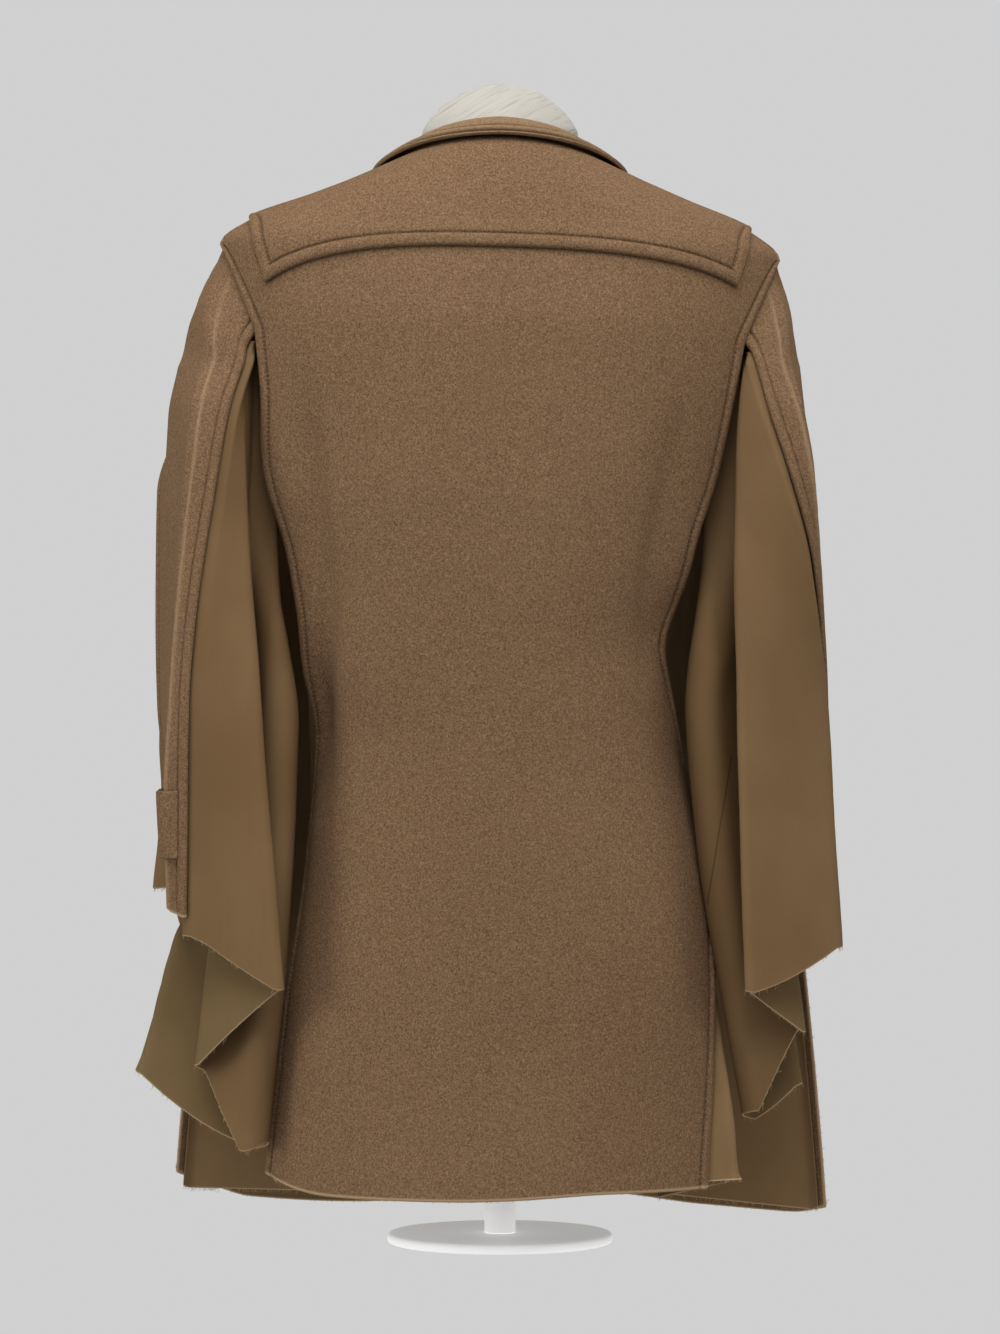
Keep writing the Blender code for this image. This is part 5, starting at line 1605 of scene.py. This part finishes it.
def make_stand():
    base = lathe("stand_base", round_rings(BASE_PROFILE, BASE_SIDES), STAND_PAINT_GLOWING)
    place_piece(base, "form_base")
    foot, top = BASE_THICK + STAND_GAP, FORM_FOOT - STAND_GAP
    profile = [(POST_RADIUS, level) for level in (foot, foot + POST_STEP, top - POST_STEP, top)]
    post = lathe("stand_post", round_rings(profile, POST_SIDES), STAND_PAINT_GLOWING)
    place_piece(post, "form_post")


# A button's profile, from its underside round to the middle of its dished face
BUTTON_PROFILE = [(0.0110, 0.0000), (0.0132, 0.0006), (0.0140, 0.0020), (0.0137, 0.0036),
                  (0.0126, 0.0045), (0.0112, 0.0043), (0.0098, 0.0035), (0.0080, 0.0031),
                  (0.0040, 0.0030), (0.0004, 0.0030)]
BUTTON_SIDES = 64
FRONT_BEARING = 270.0

# A button's threads: how far out their holes are, the threads' distance apart and thickness, the
# height that they start from and rise by, and the points round and along each
HOLE_AWAY = 0.0026
BAR_APART = 0.00055
BAR_RADIUS = 0.00032
BAR_LOW = 0.0026
BAR_RISE = 0.0010
BAR_SIDES = 6
BAR_STEPS = 10


def make_button(index):
    """A sewn-on button: a dished disc and two crossed bars of thread."""
    level = np.array(BUTTON_TOP - BUTTON_STEP * index)
    sink = BUTTON_SINK * ease((level - BUTTON_SINK_FROM) / BUTTON_SINK_RUN)
    lift = WOOL + LAY_GAP + WOOL + SEAM_GAP - sink
    bearing = np.array(FRONT_BEARING)
    seat = Vector(body_out(bearing, level, lift))
    out = (Vector(body_out(bearing, level, lift + PROBE)) - seat).normalized()
    name = "button_{}".format(index + 1)
    disc = lathe("sewn_" + name, round_rings(BUTTON_PROFILE, BUTTON_SIDES), HORN)
    disc.rotation_mode = "QUATERNION"
    disc.rotation_quaternion = out.to_track_quat("Z", "Y")
    disc.location = seat
    thread_bars("thread_" + name).parent = disc
    place_piece(disc, name)


def thread_bars(name):
    """Two crossed rows of thread between a button's four holes."""
    vertices = []
    quads = []
    for turn in (0.25 * math.pi, 0.75 * math.pi):
        along = np.array([math.cos(turn), math.sin(turn), 0.0])
        aside = np.array([-along[1], along[0], 0.0])
        for offset in (-BAR_APART, 0.0, BAR_APART):
            quads += tube_quads(len(vertices), BAR_STEPS + 1, BAR_SIDES)
            vertices += arch(along, aside, offset)
    return add_thing(quad_mesh(name, np.array(vertices), np.array(quads)), THREAD)


def arch(along, aside, offset):
    """Points of a thread's small tube, from hole to hole over the button's face."""
    points = []
    for part in np.linspace(-1.0, 1.0, BAR_STEPS + 1):
        centre = along * part * HOLE_AWAY + aside * offset
        height = BAR_LOW + BAR_RISE * (1.0 - part ** 4)
        for turn in round_turns(BAR_SIDES):
            spot = centre + aside * BAR_RADIUS * math.cos(turn)
            points.append(spot + np.array([0.0, 0.0, height + BAR_RADIUS * math.sin(turn)]))
    return points


def make_coat():
    sides = ("start", "end")
    wool_piece("back", back_grid(), 1.0, sides, ("first",))
    wool_piece("back_yoke", yoke_grid(), 1.0, ("start", "end", "first"), ())
    wool_piece("collar", collar_grid(), 1.0, ("end",), ())
    for side, sign in (("left", 1.0), ("right", -1.0)):
        sleeve = "sleeve_" + side
        wool_piece("front_" + side, front_grid(side), -sign, sides, ("first", "start"))
        wool_piece(sleeve, sleeve_grid(side), sign, sides, ("last",))
        wool_piece("sleeve_tab_" + side, tab_grid(side), sign, (), ())
        gabardine_piece("under_sleeve_" + side, bell_grid(side), -sign, BELL_SEED)
        gabardine_piece("side_godet_" + side, godet_grid(side), sign, GODET_SEED)


# Studio

# The floor and backdrop: the rows of the floor, the sweep's radius and steps, where the backdrop
# stands, its height and half width, and where the floor's light fades towards the camera
FLOOR_ROWS = (7.0, 3.0, 1.0)
SWEEP_RADIUS = 1.6
SWEEP_STEPS = 24
BACKDROP_AT = -8.0
BACKDROP_TALL = 8.0
BACKDROP_HALF = 12.0
PAPER_FADE_RUN = (0.7, 2.4)
PAPER_FADE_TO = 0.25


def make_floor():
    """A pale floor that sweeps up into the backdrop and is dimmer near the camera."""
    centre = BACKDROP_AT + SWEEP_RADIUS
    profile = [(y, 0.0) for y in (*FLOOR_ROWS, centre)]
    for step in range(1, SWEEP_STEPS + 1):
        turn = 0.5 * math.pi * step / SWEEP_STEPS
        profile.append((centre - SWEEP_RADIUS * math.sin(turn),
                        SWEEP_RADIUS - SWEEP_RADIUS * math.cos(turn)))
    profile.append((BACKDROP_AT, BACKDROP_TALL))
    points = [(x, y, z) for y, z in profile for x in (-BACKDROP_HALF, BACKDROP_HALF)]
    quads = [(2 * i, 2 * i + 1, 2 * i + 3, 2 * i + 2) for i in range(len(profile) - 1)]
    mesh = quad_mesh("studio_sweep", np.array(points), np.array(quads)[:, ::-1])
    material, tree, shader = new_material("studio_paper")
    split = add_node(tree, "ShaderNodeSeparateXYZ", {}, {"Vector": own_place(tree)})
    set_sockets(tree, shader, {
        "Base Color": (0.0, 0.0, 0.0, 1.0),
        "Roughness": 1.0,
        "Specular IOR Level": 0.0,
        "Emission Color": PAPER_GREY,
        "Emission Strength": soft_step(tree, split.outputs["Y"], PAPER_FADE_RUN,
                                       (1.0, PAPER_FADE_TO)),
    })
    add_thing(mesh, material)


# Lights: name, place, aim, width, height and watts
LIGHTS = [
    ("key", (0.3, 3.2, 2.6), (0.0, 0.0, 0.60), 2.0, 2.0, 31.0),
    ("left", (2.6, 1.0, 0.9), (0.0, 0.0, 0.38), 1.2, 1.6, 32.0),
    ("right", (-2.6, 1.0, 1.1), (0.0, 0.0, 0.40), 1.2, 1.8, 20.0),
    ("top", (0.0, 1.2, 2.8), (0.0, 0.0, 0.75), 2.6, 1.8, 90.0),
    ("front", (0.0, -3.0, 2.6), (0.0, 0.0, 0.5), 2.0, 2.0, 26.0),
]
WORLD_GREY = (0.62, 0.62, 0.62, 1.0)
WORLD_STRENGTH = 0.06


def make_lights():
    for name, place, aim, width, height, watts in LIGHTS:
        lamp = bpy.data.lights.new(name, "AREA")
        lamp.shape = "RECTANGLE"
        lamp.size, lamp.size_y = width, height
        lamp.energy = watts
        thing = add_thing(lamp)
        thing.location = place
        thing.rotation_euler = (Vector(aim) - Vector(place)).to_track_quat("-Z", "Y").to_euler()
    world = bpy.data.worlds.new("studio")
    world.use_nodes = True
    tree = world.node_tree
    set_sockets(tree, tree.nodes["Background"], {"Color": WORLD_GREY, "Strength": WORLD_STRENGTH})
    bpy.context.scene.world = world


def make_camera():
    lens = bpy.data.cameras.new("photo_camera")
    lens.sensor_width = SENSOR_MM
    lens.lens = SENSOR_MM * CAMERA_AWAY / (PHOTO_TALL * METRES_PER_PIXEL)
    thing = add_thing(lens)
    thing.location = (0.0, CAMERA_AWAY, CAMERA_HIGH)
    thing.rotation_euler = (0.5 * math.pi, 0.0, math.pi)
    bpy.context.scene.camera = thing


make_camera()
make_coat()
make_form()
make_stand()
for number in range(BUTTON_COUNT):
    make_button(number)
make_floor()
make_lights()
bpy.context.scene.view_settings.view_transform = "Standard"
